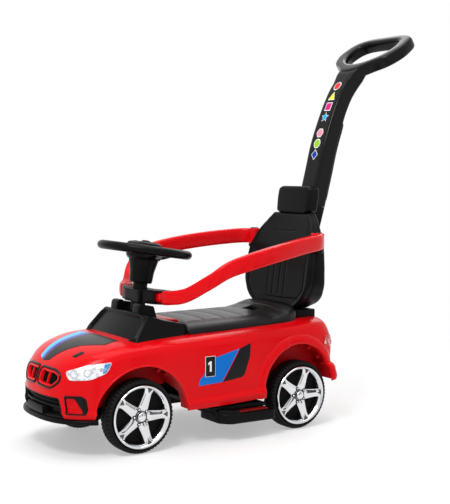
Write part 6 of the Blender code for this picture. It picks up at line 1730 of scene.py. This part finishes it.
@dataclass
class Rails:
    """The two guard rails."""

    path: tuple[tuple[float, float, float], ...] = (
        (0.054, 0.0835, 0.2915), (0.072, 0.085, 0.2915), (0.097, 0.0915, 0.293), (0.122, 0.1127, 0.3),
        (0.157, 0.141, 0.326), (0.177, 0.174, 0.351), (0.19, 0.215, 0.366), (0.19, 0.26, 0.376),
        (0.18, 0.315, 0.385), (0.164, 0.37, 0.392), (0.144, 0.425, 0.397), (0.121, 0.448, 0.3975),
    )
    width: float = 0.021
    height: float = 0.0285
    swell: float = 0.0055
    tongue_height: float = 0.0205
    tongue_loss: float = 0.004

    def build(self) -> None:
        """Builds both rails: an upright rounded section along the S, a thin tongue in front and a boss behind."""
        line = flowing(np.array(self.path), 170)
        share = np.clip((line[:, 1] - 0.095) / 0.06, 0.0, 1.0)
        full = self.height + share * self.swell
        tongue = smooth(0.0812 - line[:, 0], 0.0, 0.0012)
        full = full * (1 - tongue) + self.tongue_height * tongue
        wide = self.width - self.tongue_loss * tongue
        section = oval(0.5, 0.5, 5.5, 36)
        half = np.sign(section[:, 0])
        section[:, 0] += 0.045 * np.cos(section[:, 1] * math.pi) * half - 0.045 * half
        for side in Side:
            grid = carried(line, section, np.stack([wide, full], 1), UP)
            skin = Skin().tube(other_side(grid, side))
            boss = turned(softened(((0.0, 0.38), (0.0128, 0.38), (0.0145, 0.3818), (0.0145, 0.4132), (0.0128, 0.415),
                                    (0.0, 0.415)), 0.0012, 5), 56)
            skin.tube(other_side(boss + np.array([*RAIL_PIN, 0.0]), side))
            skin.build(f"guard_rail_skin_{side.word}", RED, f"guard_{side.word}", (f"guard_rail_{side.word}",),
                       crease=50.0)


@dataclass
class Footrests:
    """Slide-out footrests with a ribbed red insert, each part between two heights."""

    block: tuple[float, float] = (0.036, 0.0558)
    lip: tuple[float, float] = (0.052, 0.064)
    wing: tuple[float, float] = (0.0592, 0.0652)
    web: tuple[float, float] = (0.05, 0.062)
    tread: tuple[float, float] = (0.052, 0.0568)
    rib: tuple[float, float] = (0.056, 0.0583)
    rib_step: float = 0.0078

    def build(self) -> None:
        """Builds both: a rounded block with a raised corner lip, its wing under the tray, and the insert's ribs."""
        corners = np.array(((0.07, 0.178), (0.14, 0.178), (0.16, 0.196), (0.1645, 0.306), (0.07, 0.306)))
        corner = np.array(((0.124, 0.1783), (0.14, 0.1783), (0.1597, 0.197), (0.162, 0.218), (0.1547, 0.218),
                           (0.1525, 0.202), (0.1385, 0.1885), (0.124, 0.1875)))
        wing = np.array(oblong(0.07, 0.134, 0.168, 0.304))
        web = np.array(oblong(0.0705, 0.112, 0.178, 0.294))
        tread = np.array(((0.115, 0.1934), (0.1358, 0.1934), (0.1485, 0.2048), (0.1485, 0.2986), (0.115, 0.2986)))
        for side in Side:
            turn = np.array([side.value, 1.0])
            skin = Skin().block(corners * turn, 0.008, *self.block, 0.0022, *LEVEL)
            skin.block(corner * turn, 0.003, *self.lip, 0.0014, *LEVEL)
            skin.block(wing * turn, 0.003, *self.wing, 0.0008, *LEVEL)
            skin.block(web * turn, 0.002, *self.web, 0.0006, *LEVEL)
            skin.build(f"footrest_block_{side.word}", BLACK, f"footrest_{side.word}", (f"footrest_{side.word}",))
            pad = Skin().block(tread * turn, 0.003, *self.tread, 0.0006, *LEVEL)
            for y in np.arange(0.205, 0.294, self.rib_step):
                rib = np.array(oblong(0.1195, 0.1462, y, y + 0.0042))
                pad.block(rib * turn, 0.0012, *self.rib, 0.0009, *LEVEL, arc=4)
            pad.build(f"footrest_ribs_{side.word}", RED_RIB, f"footrest_{side.word}",
                      (f"footrest_tread_{side.word}",))


@dataclass
class Undertray:
    """The tray under the body, with a bridge over the steering, a bulkhead and the footrests' runners."""

    sides: tuple[tuple[float, float, float], ...] = (
        (-0.1165, 0.078, 0.0655), (-0.1, 0.066, 0.0655), (-0.036, 0.066, 0.0655), (-0.024, 0.066, 0.088),
        (0.092, 0.066, 0.088),
        (0.108, 0.066, 0.092), (0.112, 0.136, 0.0922), (0.122, 0.136, 0.0925), (0.132, 0.136, 0.09),
        (0.143, 0.136, 0.084),
        (0.152, 0.136, 0.074), (0.159, 0.136, 0.0655), (0.284, 0.136, 0.0655), (0.294, 0.089, 0.0655),
        (0.35, 0.089, 0.0655),
        (0.362, 0.089, 0.079), (0.455, 0.089, 0.079),
    )
    thick: float = 0.003
    runs: tuple[float, float] = (0.172, 0.3)

    def build(self) -> None:
        """Builds the sheet from its (place, half width, height) table, with runners and axle blocks."""
        y, half, low = np.array(self.sides).T
        across = np.linspace(-1.0, 1.0, 25)
        under = np.stack([half[:, None] * across, np.broadcast_to(y[:, None], (len(y), 25)),
                          np.broadcast_to(low[:, None], (len(y), 25))], -1)
        skin = Skin().wall(under, under + self.thick * UP)
        wall = Skin().block(oblong(-0.104, 0.104, 0.119, 0.122), 0.001, 0.095, 0.13, 0.0005, *LEVEL, arc=3)
        wall.build("undertray_bulkhead", BLACK_DEEP, "body")
        for side in Side:
            turn = np.array([side.value, 1.0])
            for end, way in zip(self.runs, (-1, 1)):
                near, far, foot = (end + way * out for out in (0.0085, 0.0045, 0.0005))
                for (one, two), high in (((near, far), self.sides[0][2] + 0.001), ((far, foot), 0.0587)):
                    bar = np.array(oblong(0.06, 0.134, min(one, two), max(one, two)))
                    skin.block(bar * turn, 0.0004, 0.056, high, 0.0003, *LEVEL, arc=3)
            block = np.array(oblong(0.074, 0.086, WHEELBASE - 0.01, WHEELBASE + 0.01))
            skin.block(block * turn, 0.001, AXLE_HEIGHT - 0.0095, 0.08, 0.0006, *LEVEL, arc=3)
        shaft = turned(((0.0069, -0.33), (0.0069, -0.25)), 24)
        bore = Skin().tube(set_at(shaft, STEERING_HUB, *STEERING_AXES))
        skin.build("undertray_sheet", BLACK_DEEP, "body", ("chassis_tray",), cuts=(bore,))


@dataclass
class PushHandle:
    """Push handle: a bowed stem, a two-handed loop, the cover on its back and the stickers on its face."""

    path: tuple[tuple[float, float], ...] = (
        STEM_FOOT, (0.5347, 0.5155), (0.5441, 0.552), (0.555, 0.597), (0.5685, 0.64),
        (0.5848, 0.684), (0.603, 0.7215), (0.619, 0.7455), (0.6345, 0.768), (0.651, 0.7872),
    )
    width: float = 0.054
    depth: float = 0.0415
    loop_start: tuple[float, float] = (0.6255, 0.77)
    loop_tilt: float = math.radians(34.5)
    loop_thick: float = 0.029
    loop_centre: float = 0.083
    outer: Outline = ((0.025, 0.005), (0.035, 0.014), (0.056, 0.031), (0.086, 0.051), (0.103, 0.082), (0.1035, 0.112),
                      (0.093, 0.142), (0.06, 0.158), (0.0, 0.16))
    hole: Outline = ((0.0, 0.037), (0.03, 0.041), (0.056, 0.06), (0.0725, 0.088), (0.0725, 0.11), (0.0645, 0.126),
                     (0.045, 0.1345), (0.0, 0.1355))

    def _line(self, count: int) -> tuple[Array, Array]:
        """The stem's middle line.

        Args:
            count: how many points.

        Returns:
            The points, and at each the direction square to the line, towards the rear and down.
        """
        flat = flowing(np.array(self.path), count)
        line = np.column_stack([np.zeros(count), flat])
        ahead = np.gradient(line, axis=0)
        ahead /= np.linalg.norm(ahead, axis=1)[:, None]
        rear = np.stack([np.zeros(count), ahead[:, 2], -ahead[:, 1]], 1)
        return line, rear

    def build(self) -> None:
        """Builds the stem with the loop and a room cut for the post's stub, the rear cover and the stickers."""
        line, rear = self._line(120)
        section = ring_of(middled(0.5 * self.width, 0.5 * self.depth), 0.0075, 8, 5)
        wide, deep = (size[:, None, None] for size in self._size(line[:, 2]))
        stem = (line[:, None] + wide * section[None, :, :1] * SIDEWAYS
                + deep * section[None, :, 1:] * rear[:, None])
        skin = Skin().tube(stem).grid(self._loop(), close_u=True, close_v=True)
        slope = math.tan(POST_LEAN)
        ends = np.array([[STEM_FOOT[0] - 0.0116 * slope, 0.46], [STEM_FOOT[0] + 0.0534 * slope, 0.525]])
        room = Skin().tube(leaning(ring_of(middled(0.0203, 0.0143), 0.003, 4, 2), ends))
        skin.build("push_handle_skin", BLACK_GLOSS, "push_handle", ("push_handle",), crease=55.0, cuts=(room,))
        self._cover()
        self._stickers(line, rear)

    def _plane(self, flat: Array, high: Array) -> Array:
        """Points of the loop's tilted plane, as places on the car.

        Args:
            flat: points of (across, along the slope).
            high: distance square to the plane.

        Returns:
            The places.
        """
        c, s = math.cos(self.loop_tilt), math.sin(self.loop_tilt)
        start = np.array([0.0, *self.loop_start])
        along, square = np.array([0, c, s]), np.array([0, -s, c])
        return start + flat[..., :1] * SIDEWAYS + flat[..., 1:2] * along + high[..., None] * square

    def _loop(self) -> Array:
        """The loop as a tube between its outer line and its hole.

        For each heading from the hole's centre, the middle and half breadth come from where the two
        lines are met, and the section is a superellipse of that breadth and the loop's thickness.

        Returns:
            A grid of headings by the section's points.
        """
        centre = np.array([0.0, self.loop_centre])
        heading = np.arange(220) * math.tau / 220
        reach = []
        for half in (self.outer, self.hole):
            right = flowing(np.array(half), 300)
            whole = np.concatenate([right, (right * np.array([-1.0, 1.0]))[::-1]]) - centre
            angle = np.unwrap(np.arctan2(whole[:, 1], whole[:, 0]))
            radius = np.linalg.norm(whole, axis=1)
            order = np.argsort(np.mod(angle, math.tau))
            turn, size = np.mod(angle, math.tau)[order], radius[order]
            turn, size = np.concatenate([turn - math.tau, turn, turn + math.tau]), np.tile(size, 3)
            reach.append(blurred(heading, turn, size, 0.035))
        out, into = reach
        out = np.minimum(out, np.where(np.sin(heading) < 0, 0.104 / np.maximum(1e-6, np.abs(np.cos(heading))), out))
        section = oval(1.0, 1.0, 4.2, 32)
        middle, half = (out + into) / 2, (out - into) / 2
        reach_all = middle[:, None] + half[:, None] * section[None, :, 0]
        flat = centre + reach_all[..., None] * np.stack([np.cos(heading), np.sin(heading)], -1)[:, None]
        return self._plane(flat, np.broadcast_to(self.loop_thick / 2 * section[:, 1], flat.shape[:2]))

    @staticmethod
    def _size(z: Array) -> tuple[Array, Array]:
        """Factors for the stem's width and depth: a slow taper, then a flare into the loop's root."""
        wide = 1.0 - 0.07 * smooth(z, 0.6, 0.72) + 0.32 * smooth(z, 0.738, 0.784)
        return wide, 1.0 - 0.1 * smooth(z, 0.58, 0.7) - 0.22 * smooth(z, 0.762, 0.787)

    def _cover(self) -> None:
        """The cover on the lower half of the stem's back: a thin shell with a step at its upper end."""
        line, rear = (values[3:62] for values in self._line(120))
        section = ring_of(oblong(-0.025, 0.025, 0.006, 0.0232), 0.005, 6, 4)
        end = np.sqrt(np.clip(1 - np.abs(np.linspace(-1, 1, len(line))) ** 14, 0, 1))[:, None, None]
        grid = (line[:, None] + section[None, :, :1] * SIDEWAYS * (0.86 + 0.14 * end)
                + section[None, :, 1:] * (0.9 + 0.1 * end) * rear[:, None])
        Skin().tube(grid).build("stem_rear_cover", BLACK_DEEP, "push_handle")

    def _stickers(self, line: Array, rear: Array) -> None:
        """Seven plain coloured shapes with white borders, one above the other on the stem's face.

        Args:
            line: the stem's middle line.
            rear: the direction square to it.
        """
        length = np.concatenate([[0.0], np.cumsum(np.linalg.norm(np.diff(line, axis=0), axis=1))])
        round_shape, square = oval(1.0, 1.0, 2.0, 12), np.array(middled(0.9, 0.9))
        triangle = np.array(((-1.0, -0.85), (1.0, -0.85), (0.0, 1.05)))
        turn, reach = np.arange(10) * math.tau / 10, np.where(np.arange(10) % 2, 0.52, 1.12)
        star = np.stack([reach * np.sin(turn), reach * np.cos(turn)], 1)
        diamond = np.array(((0.0, -1.1), (1.0, 0.0), (0.0, 1.1), (-1.0, 0.0)))
        hexagon = oval(1.05, 1.05, 2.0, 6)
        forms = (round_shape, triangle, square, star, hexagon, round_shape, diamond)
        places = (0.279, 0.253, 0.2275, 0.202, 0.164, 0.139, 0.1135)
        for number, (finish, form, at) in enumerate(zip(STICKERS, forms, places)):
            for layer, (size, lift, paint) in enumerate(((0.0112, 0.00025, VINYL_WHITE), (0.0092, 0.00055, finish))):
                ring = ring_of(form * size, 0.0012, 5, 3)
                share = np.linspace(1.0, 0.0, 6)[:, None, None]
                flat = np.concatenate([ring[None], ring[None] * share])
                high = np.concatenate([[-0.0006], np.full(6, lift)])
                along = at + flat[..., 1]
                base, back = (np.stack([np.interp(along, length, values[:, k]) for k in range(3)], -1)
                              for values in (line, rear))
                deep = self._size(base[..., 2])[1][..., None] * self.depth / 2
                points = base + flat[..., :1] * SIDEWAYS - back * (deep + high[:, None, None])
                name = f"sticker_{number}_{'edge' if layer == 0 else 'face'}"
                Skin().grid(points, close_v=True).fan(points[0]).build(name, paint, "push_handle")


# Wheels

@dataclass
class Wheels:
    """Four wheels: a notched tyre, a black wheel body and a plated five-spoke cover."""

    wheel_x: float = 0.1225
    lugs: int = 56
    spokes: int = 5
    spoke_turn: float = math.radians(18.0)
    lug_depth: float = 0.0017
    inner_lug_depth: float = 0.0011

    def build(self) -> None:
        """Builds each wheel."""
        for end, y in (("front", 0.0), ("rear", WHEELBASE)):
            for side in Side:
                self._wheel(f"{end}_{side.word}", side, y)

    def _stand(self, points: Array, side: Side, y: float) -> Array:
        """Points of (sideways, up, out) from a wheel's middle, as places on the car."""
        return set_at(points, (side.value * self.wheel_x, y, AXLE_HEIGHT), (0, 1, 0), (0, 0, 1), (side.value, 0, 0))

    def _wheel(self, name: str, side: Side, y: float) -> None:
        """Builds the tyre, the cover and the barrel of one wheel.

        Args:
            name: which wheel.
            side: its side.
            y: its axle's place along the car.
        """
        body = f"wheel_{name}"
        Skin().grid(self._stand(self._tyre(), side, y), close_u=True, close_v=True).build(
            f"tyre_tread_{name}", TYRE, body, (f"tyre_{name}",), crease=32.0)
        # The cover's second finish is plating painted dark as shade.
        self._cover(side, y).build(f"spoke_cover_{name}", (CHROME, CHROME_PAINTED_SHADE), body, (f"wheel_cover_{name}",),
                                   crease=30.0)
        barrel = turned(softened(((0.0044, -0.0175), (0.011, -0.0175), (0.011, -0.005), (0.054, -0.006),
                                  (0.0545, -0.0145), (0.057, -0.0145),
                                  (0.057, 0.006), (0.053, 0.006), (0.0525, 0.002), (0.011, 0.006), (0.0044, 0.006)),
                                  0.0008, 3), 64)
        Skin().grid(self._stand(barrel, side, y), close_u=True, close_v=True).build(
            f"wheel_barrel_{name}", BLACK_DEEP, body, (f"wheel_body_{name}",))

    def _tyre(self) -> Array:
        """The tyre: a section of (radius, height) round the axle, with lugs.

        The radius drops by the lug's depth where a rounded square wave of the angle is low, on the
        tread's two outer bands and the shoulders, and two grooves run round the tread.

        Returns:
            A grid of angles by the section's points.
        """
        section = np.array((
            (0.058, -0.015), (0.06, -0.0168), (0.064, -0.0178), (0.0672, -0.0178), (0.069, -0.0174), (0.0708, -0.016),
            (0.0718, -0.0142),
            (0.0724, -0.0118), (0.0725, -0.01), (0.0725, -0.0074), (0.0709, -0.0068), (0.0709, -0.0058),
            (0.0725, -0.0052), (0.0725, -0.002), (0.0725, 0.002),
            (0.0725, 0.0052), (0.0709, 0.0058), (0.0709, 0.0068), (0.0725, 0.0074), (0.0725, 0.01), (0.0724, 0.0118),
            (0.0718, 0.0142), (0.0708, 0.016),
            (0.069, 0.0174), (0.0672, 0.0178), (0.0655, 0.0178), (0.0645, 0.017), (0.0636, 0.016), (0.0627, 0.0146),
            (0.06, 0.0143), (0.058, 0.0141)))
        fine = self.lugs * 8
        angle = (np.arange(fine) + 0.5) * math.tau / fine
        phase = np.mod(np.arange(fine), 8)
        wave = np.array([1.0, 1.0, 0.0, 0.0, 0.0, 0.0, 0.0, 1.0])[phase]
        wave_other = np.array([0.0, 0.0, 0.0, 1.0, 1.0, 1.0, 0.0, 0.0])[phase]
        radius, out = section.T
        outer = smooth(radius, 0.0685, 0.07) * smooth(np.abs(out), 0.007, 0.0078)
        inner = smooth(radius, 0.0718, 0.0722) * (np.abs(out) < 0.0053)
        depth = (self.lug_depth * wave[:, None] * outer[None]
                 + self.inner_lug_depth * wave_other[:, None] * inner[None])
        size = radius[None] - depth
        return np.stack([size * np.sin(angle)[:, None], size * np.cos(angle)[:, None],
                         np.broadcast_to(out, size.shape)], -1)

    def _cover(self, side: Side, y: float) -> Skin:
        """The plated cover: a rolled rim, five crowned spokes with notches painted dark as shade, a hub ring with
        bolts and a cap.

        A spoke's half width is a function of its distance from the axle, narrow at its waist and wide
        at hub and rim, and its height falls from a ridge along its middle.

        Args:
            side: the wheel's side.
            y: its axle's place along the car.

        Returns:
            The skin, with mark 1 on the plating painted dark as shade.
        """
        skin = Skin()
        rim = softened(((0.053, 0.003), (0.0545, 0.003), (0.0552, 0.012), (0.0616, 0.015), (0.0621, 0.02),
                        (0.0606, 0.0222), (0.059, 0.0222),
                        (0.0572, 0.0205), (0.054, 0.016), (0.052, 0.0085)), 0.0008, 4)
        skin.grid(self._stand(turned(rim, 120), side, y), close_u=True, close_v=True)
        along = np.linspace(0.0, 1.0, 34)
        reach = 0.009 + along * (0.056 - 0.009)
        half = blurred(reach, np.array([0.008, 0.016, 0.022, 0.03, 0.04, 0.048, 0.0525, 0.056]),
                       np.array([0.0095, 0.0108, 0.0105, 0.0095, 0.0086, 0.0084, 0.0095, 0.0122]), 0.0016)
        top = blurred(reach, np.array([0.008, 0.02, 0.045, 0.052, 0.056]),
                      np.array([0.015, 0.0165, 0.0178, 0.019, 0.02]), 0.002)
        edge = np.array([1.0, 1.0, 0.96, 0.78, 0.45, 0.16, 0.05])
        edge_fall = np.array([0.013, 0.0032, 0.002, 0.0011, 0.0004, 0.0, 0.0])
        across, fall = np.concatenate([-edge, edge[::-1]]), np.concatenate([edge_fall, edge_fall[::-1]])
        for k in range(self.spokes):
            turn = self.spoke_turn + math.tau * k / self.spokes
            ahead = np.array([math.sin(turn), math.cos(turn), 0.0])
            beside = np.array([math.cos(turn), -math.sin(turn), 0.0])
            grid = (reach[:, None, None] * ahead + (half[:, None] * across[None])[..., None] * beside
                    + (top[:, None] - fall[None])[..., None] * UP)
            skin.tube(self._stand(grid, side, y))
            notch = np.array(((0.0, -0.006), (0.0052, 0.002), (0.0, 0.0042), (-0.0052, 0.002)))
            base = 0.0538 * ahead + 0.0193 * UP
            origin, middle = self._stand(base[None], side, y)[0], self._stand(np.zeros((1, 3)), side, y)[0]
            axes = [self._stand(v[None], side, y)[0] - middle for v in (beside, ahead, UP)]
            # The notch, the bolt cups and the cap's collar take plating painted dark as shade (mark 1).
            skin.block(notch, 0.0006, -0.002, 0.0009, 0.0003, origin, *axes, mark=1, arc=3)
            bolt_turn = turn + math.pi / self.spokes
            spot = 0.015 * np.array([math.sin(bolt_turn), math.cos(bolt_turn), 0.0])
            bolt = turned(softened(((0.0, 0.0178), (0.0013, 0.0176), (0.0021, 0.0165), (0.0021, 0.012), (0.0, 0.012)),
                                   0.0004, 3), 16)
            skin.tube(self._stand(bolt + spot, side, y))
            cup = turned(softened(((0.0022, 0.012), (0.0036, 0.012), (0.0036, 0.0161), (0.003, 0.0166),
                                   (0.0024, 0.0158), (0.0022, 0.014)), 0.0003, 3), 20)
            skin.grid(self._stand(cup + spot, side, y), close_u=True, close_v=True, mark=1)
        plate = turned(softened(((0.0, 0.006), (0.0195, 0.006), (0.02, 0.012), (0.018, 0.0148), (0.0118, 0.0142),
                                 (0.0, 0.0142)), 0.001, 4), 80)
        skin.tube(self._stand(plate, side, y))
        collar = turned(softened(((0.01, 0.012), (0.0122, 0.012), (0.0122, 0.0172), (0.0114, 0.0184), (0.0104, 0.018),
                                  (0.01, 0.015)), 0.0004, 3), 64)
        skin.grid(self._stand(collar, side, y), close_u=True, close_v=True, mark=1)
        cap = turned(softened(((0.0, 0.0218), (0.004, 0.0216), (0.0078, 0.0206), (0.009, 0.019), (0.0092, 0.012),
                               (0.0, 0.012)), 0.001, 5), 64)
        skin.tube(self._stand(cap, side, y))
        return skin


@dataclass
class Studio:
    """Floor, lights, sky and camera."""

    place: tuple[float, float, float] = (1.8631, -0.9897 - ORIGIN_Y, 0.5367)
    heading: float = math.radians(55.6)
    dip: float = math.radians(4.175)
    roll: float = math.radians(0.578)
    lens: float = 74.65

    def build(self) -> None:
        """Builds the studio."""
        self.floor()
        self.sky()
        self.lights()
        self.cards()
        self.camera()

    def floor(self) -> None:
        """A pale floor that keeps the shadow and fades to plain white with distance from the car."""
        ring = np.arange(96) * math.tau / 96
        radii = np.array([0.0, 0.3, 0.6, 1.0, 1.6, 2.6, 4.0, 7.0])
        grid = np.stack([radii[:, None] * np.cos(ring), radii[:, None] * np.sin(ring), np.full((8, 96), -0.0004)], -1)
        mesh = bpy.data.meshes.new("floor")
        skin = Skin().grid(grid, close_v=True)
        mesh.from_pydata(np.concatenate(skin.points), [], skin.faces)
        weld(mesh, 1e-6)
        if mesh.polygons[0].normal.z < 0:
            mesh.flip_normals()
        floor = added("floor", mesh)
        made = bpy.data.materials.new("floor")
        made.use_nodes = True
        tree = made.node_tree
        shader = feed(tree, tree.nodes["Principled BSDF"], {
            "Base Color": (0.9, 0.9, 0.9, 1.0), "Roughness": 0.45, "Specular IOR Level": 0.15})
        place = wire(tree, "TexCoord").outputs["Object"]
        reach = wire(tree, "VectorMath", {0: place}, operation="LENGTH").outputs["Value"]
        fade = wire(tree, "MapRange", {"From Min": 0.7, "From Max": 1.5, "To Min": 0.4, "Value": reach},
                    interpolation_type="SMOOTHSTEP")
        glow = wire(tree, "Emission").outputs["Emission"]
        mix = wire(tree, "MixShader", {"Fac": fade.outputs["Result"], 1: shader.outputs["BSDF"], 2: glow})
        feed(tree, tree.nodes["Material Output"], {"Surface": mix.outputs["Shader"]})
        mesh.materials.append(made)

    def sky(self) -> None:
        """White behind the car and in its reflections, soft grey light on everything else."""
        world = bpy.data.worlds.new("studio")
        bpy.context.scene.world = world
        world.use_nodes = True
        tree = world.node_tree
        tree.nodes.clear()
        path = wire(tree, "LightPath").outputs
        seen = path["Is Camera Ray"]
        for ray in ("Is Glossy Ray", "Is Transmission Ray"):
            seen = wire(tree, "Math", {0: seen, 1: path[ray]}, operation="MAXIMUM").outputs["Value"]
        soft, white = (wire(tree, "Background", {"Color": (1.0, 1.0, 1.0, 1.0), "Strength": strength}).outputs[0]
                       for strength in (0.62, 1.0))
        mix = wire(tree, "MixShader", {"Fac": seen, 1: soft, 2: white})
        wire(tree, "OutputWorld", {"Surface": mix.outputs["Shader"]})

    def lights(self) -> None:
        """A broad lamp overhead, one from the front left and one from the rear."""
        for name, place, size, power in (
            ("key", (0.9, -1.5, 2.2), 0.7, 34.0), ("overhead", (0.0, 0.2, 2.6), 2.2, 30.0),
            ("rear", (-1.2, 1.8, 1.9), 1.4, 12.0),
        ):
            light = bpy.data.lights.new(name, "AREA")
            light.size, light.energy = size, power
            lamp = added(name, light)
            lamp.location = place
            lamp.rotation_euler = (Vector((0.0, 0.0, 0.25)) - Vector(place)).to_track_quat("-Z", "Y").to_euler()

    def cards(self) -> None:
        """Dark upright cards that only reflections see, so that plated parts show light and dark."""
        dark = bpy.data.materials.new("card")
        dark.use_nodes = True
        feed(dark.node_tree, dark.node_tree.nodes["Principled BSDF"], {"Base Color": (0.012, 0.012, 0.013, 1.0)})
        for number, (x, y, turn, wide, low, high) in enumerate((
            (0.62, -0.3, 0.2, 0.05, 0.0, 0.34), (0.66, -0.02, 0.1, 0.03, 0.0, 0.4), (0.7, 0.26, 0.0, 0.06, 0.0, 0.36),
            (0.66, 0.52, -0.1, 0.04, 0.0, 0.38), (0.62, 0.74, -0.3, 0.06, 0.0, 0.34),
        )):
            card = Skin().block(oblong(-wide, wide, low, high), 0.02, -0.004, 0.004, 0.002, (x, y, 0.0),
                                (math.sin(turn), math.cos(turn), 0), (0, 0, 1), (math.cos(turn), -math.sin(turn), 0))
            shown = added(f"card_{number}", card.mesh(f"card_{number}", 40.0))
            shown.data.materials.append(dark)
            shown.visible_camera = shown.visible_diffuse = shown.visible_shadow = shown.visible_transmission = False

    def camera(self) -> None:
        """The photograph's camera: heading, dip and roll as a turn of its own axes."""
        level = math.cos(self.dip)
        forward = Vector((-math.sin(self.heading) * level, math.cos(self.heading) * level, -math.sin(self.dip)))
        right = Vector((math.cos(self.heading), math.sin(self.heading), 0.0))
        up = right.cross(forward)
        right_turned = right * math.cos(self.roll) + up * math.sin(self.roll)
        up_turned = right_turned.cross(forward)
        turn = Matrix((right_turned, up_turned, -forward)).transposed().to_4x4()
        data = bpy.data.cameras.new("camera")
        data.lens, data.sensor_width, data.sensor_fit = self.lens, 36.0, "AUTO"
        data.clip_start, data.clip_end = 0.05, 60.0
        camera = added("camera", data)
        camera.matrix_world = Matrix.Translation(self.place) @ turn
        bpy.context.scene.camera = camera


def main() -> None:
    """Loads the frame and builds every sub-assembly in order."""
    logging.basicConfig(level=logging.INFO, format="%(name)s: %(message)s")
    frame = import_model()
    view = bpy.context.scene.view_settings
    view.view_transform = "Standard"
    form = BodyForm()
    body = Body(form, Fitter(form))
    for part in (body, Nose(body), Cowl(), Seat(), Backrest(), Steering(), Rails(), Undertray(), Footrests(),
                 PushHandle(), Wheels()):
        part.build()
    nodes = frame["nodes"]
    dress(nodes, ("front_axle_beam",), BLACK_DEEP)
    dress(nodes, ("storage_tub", "handle_button"), BLACK)
    dress(nodes, ("steering_shaft", "knuckle_left", "knuckle_right", "tie_rod", "rear_axle", "seat_hinge_pin"), STEEL)
    Studio().build()


if __name__ == "__main__":
    main()
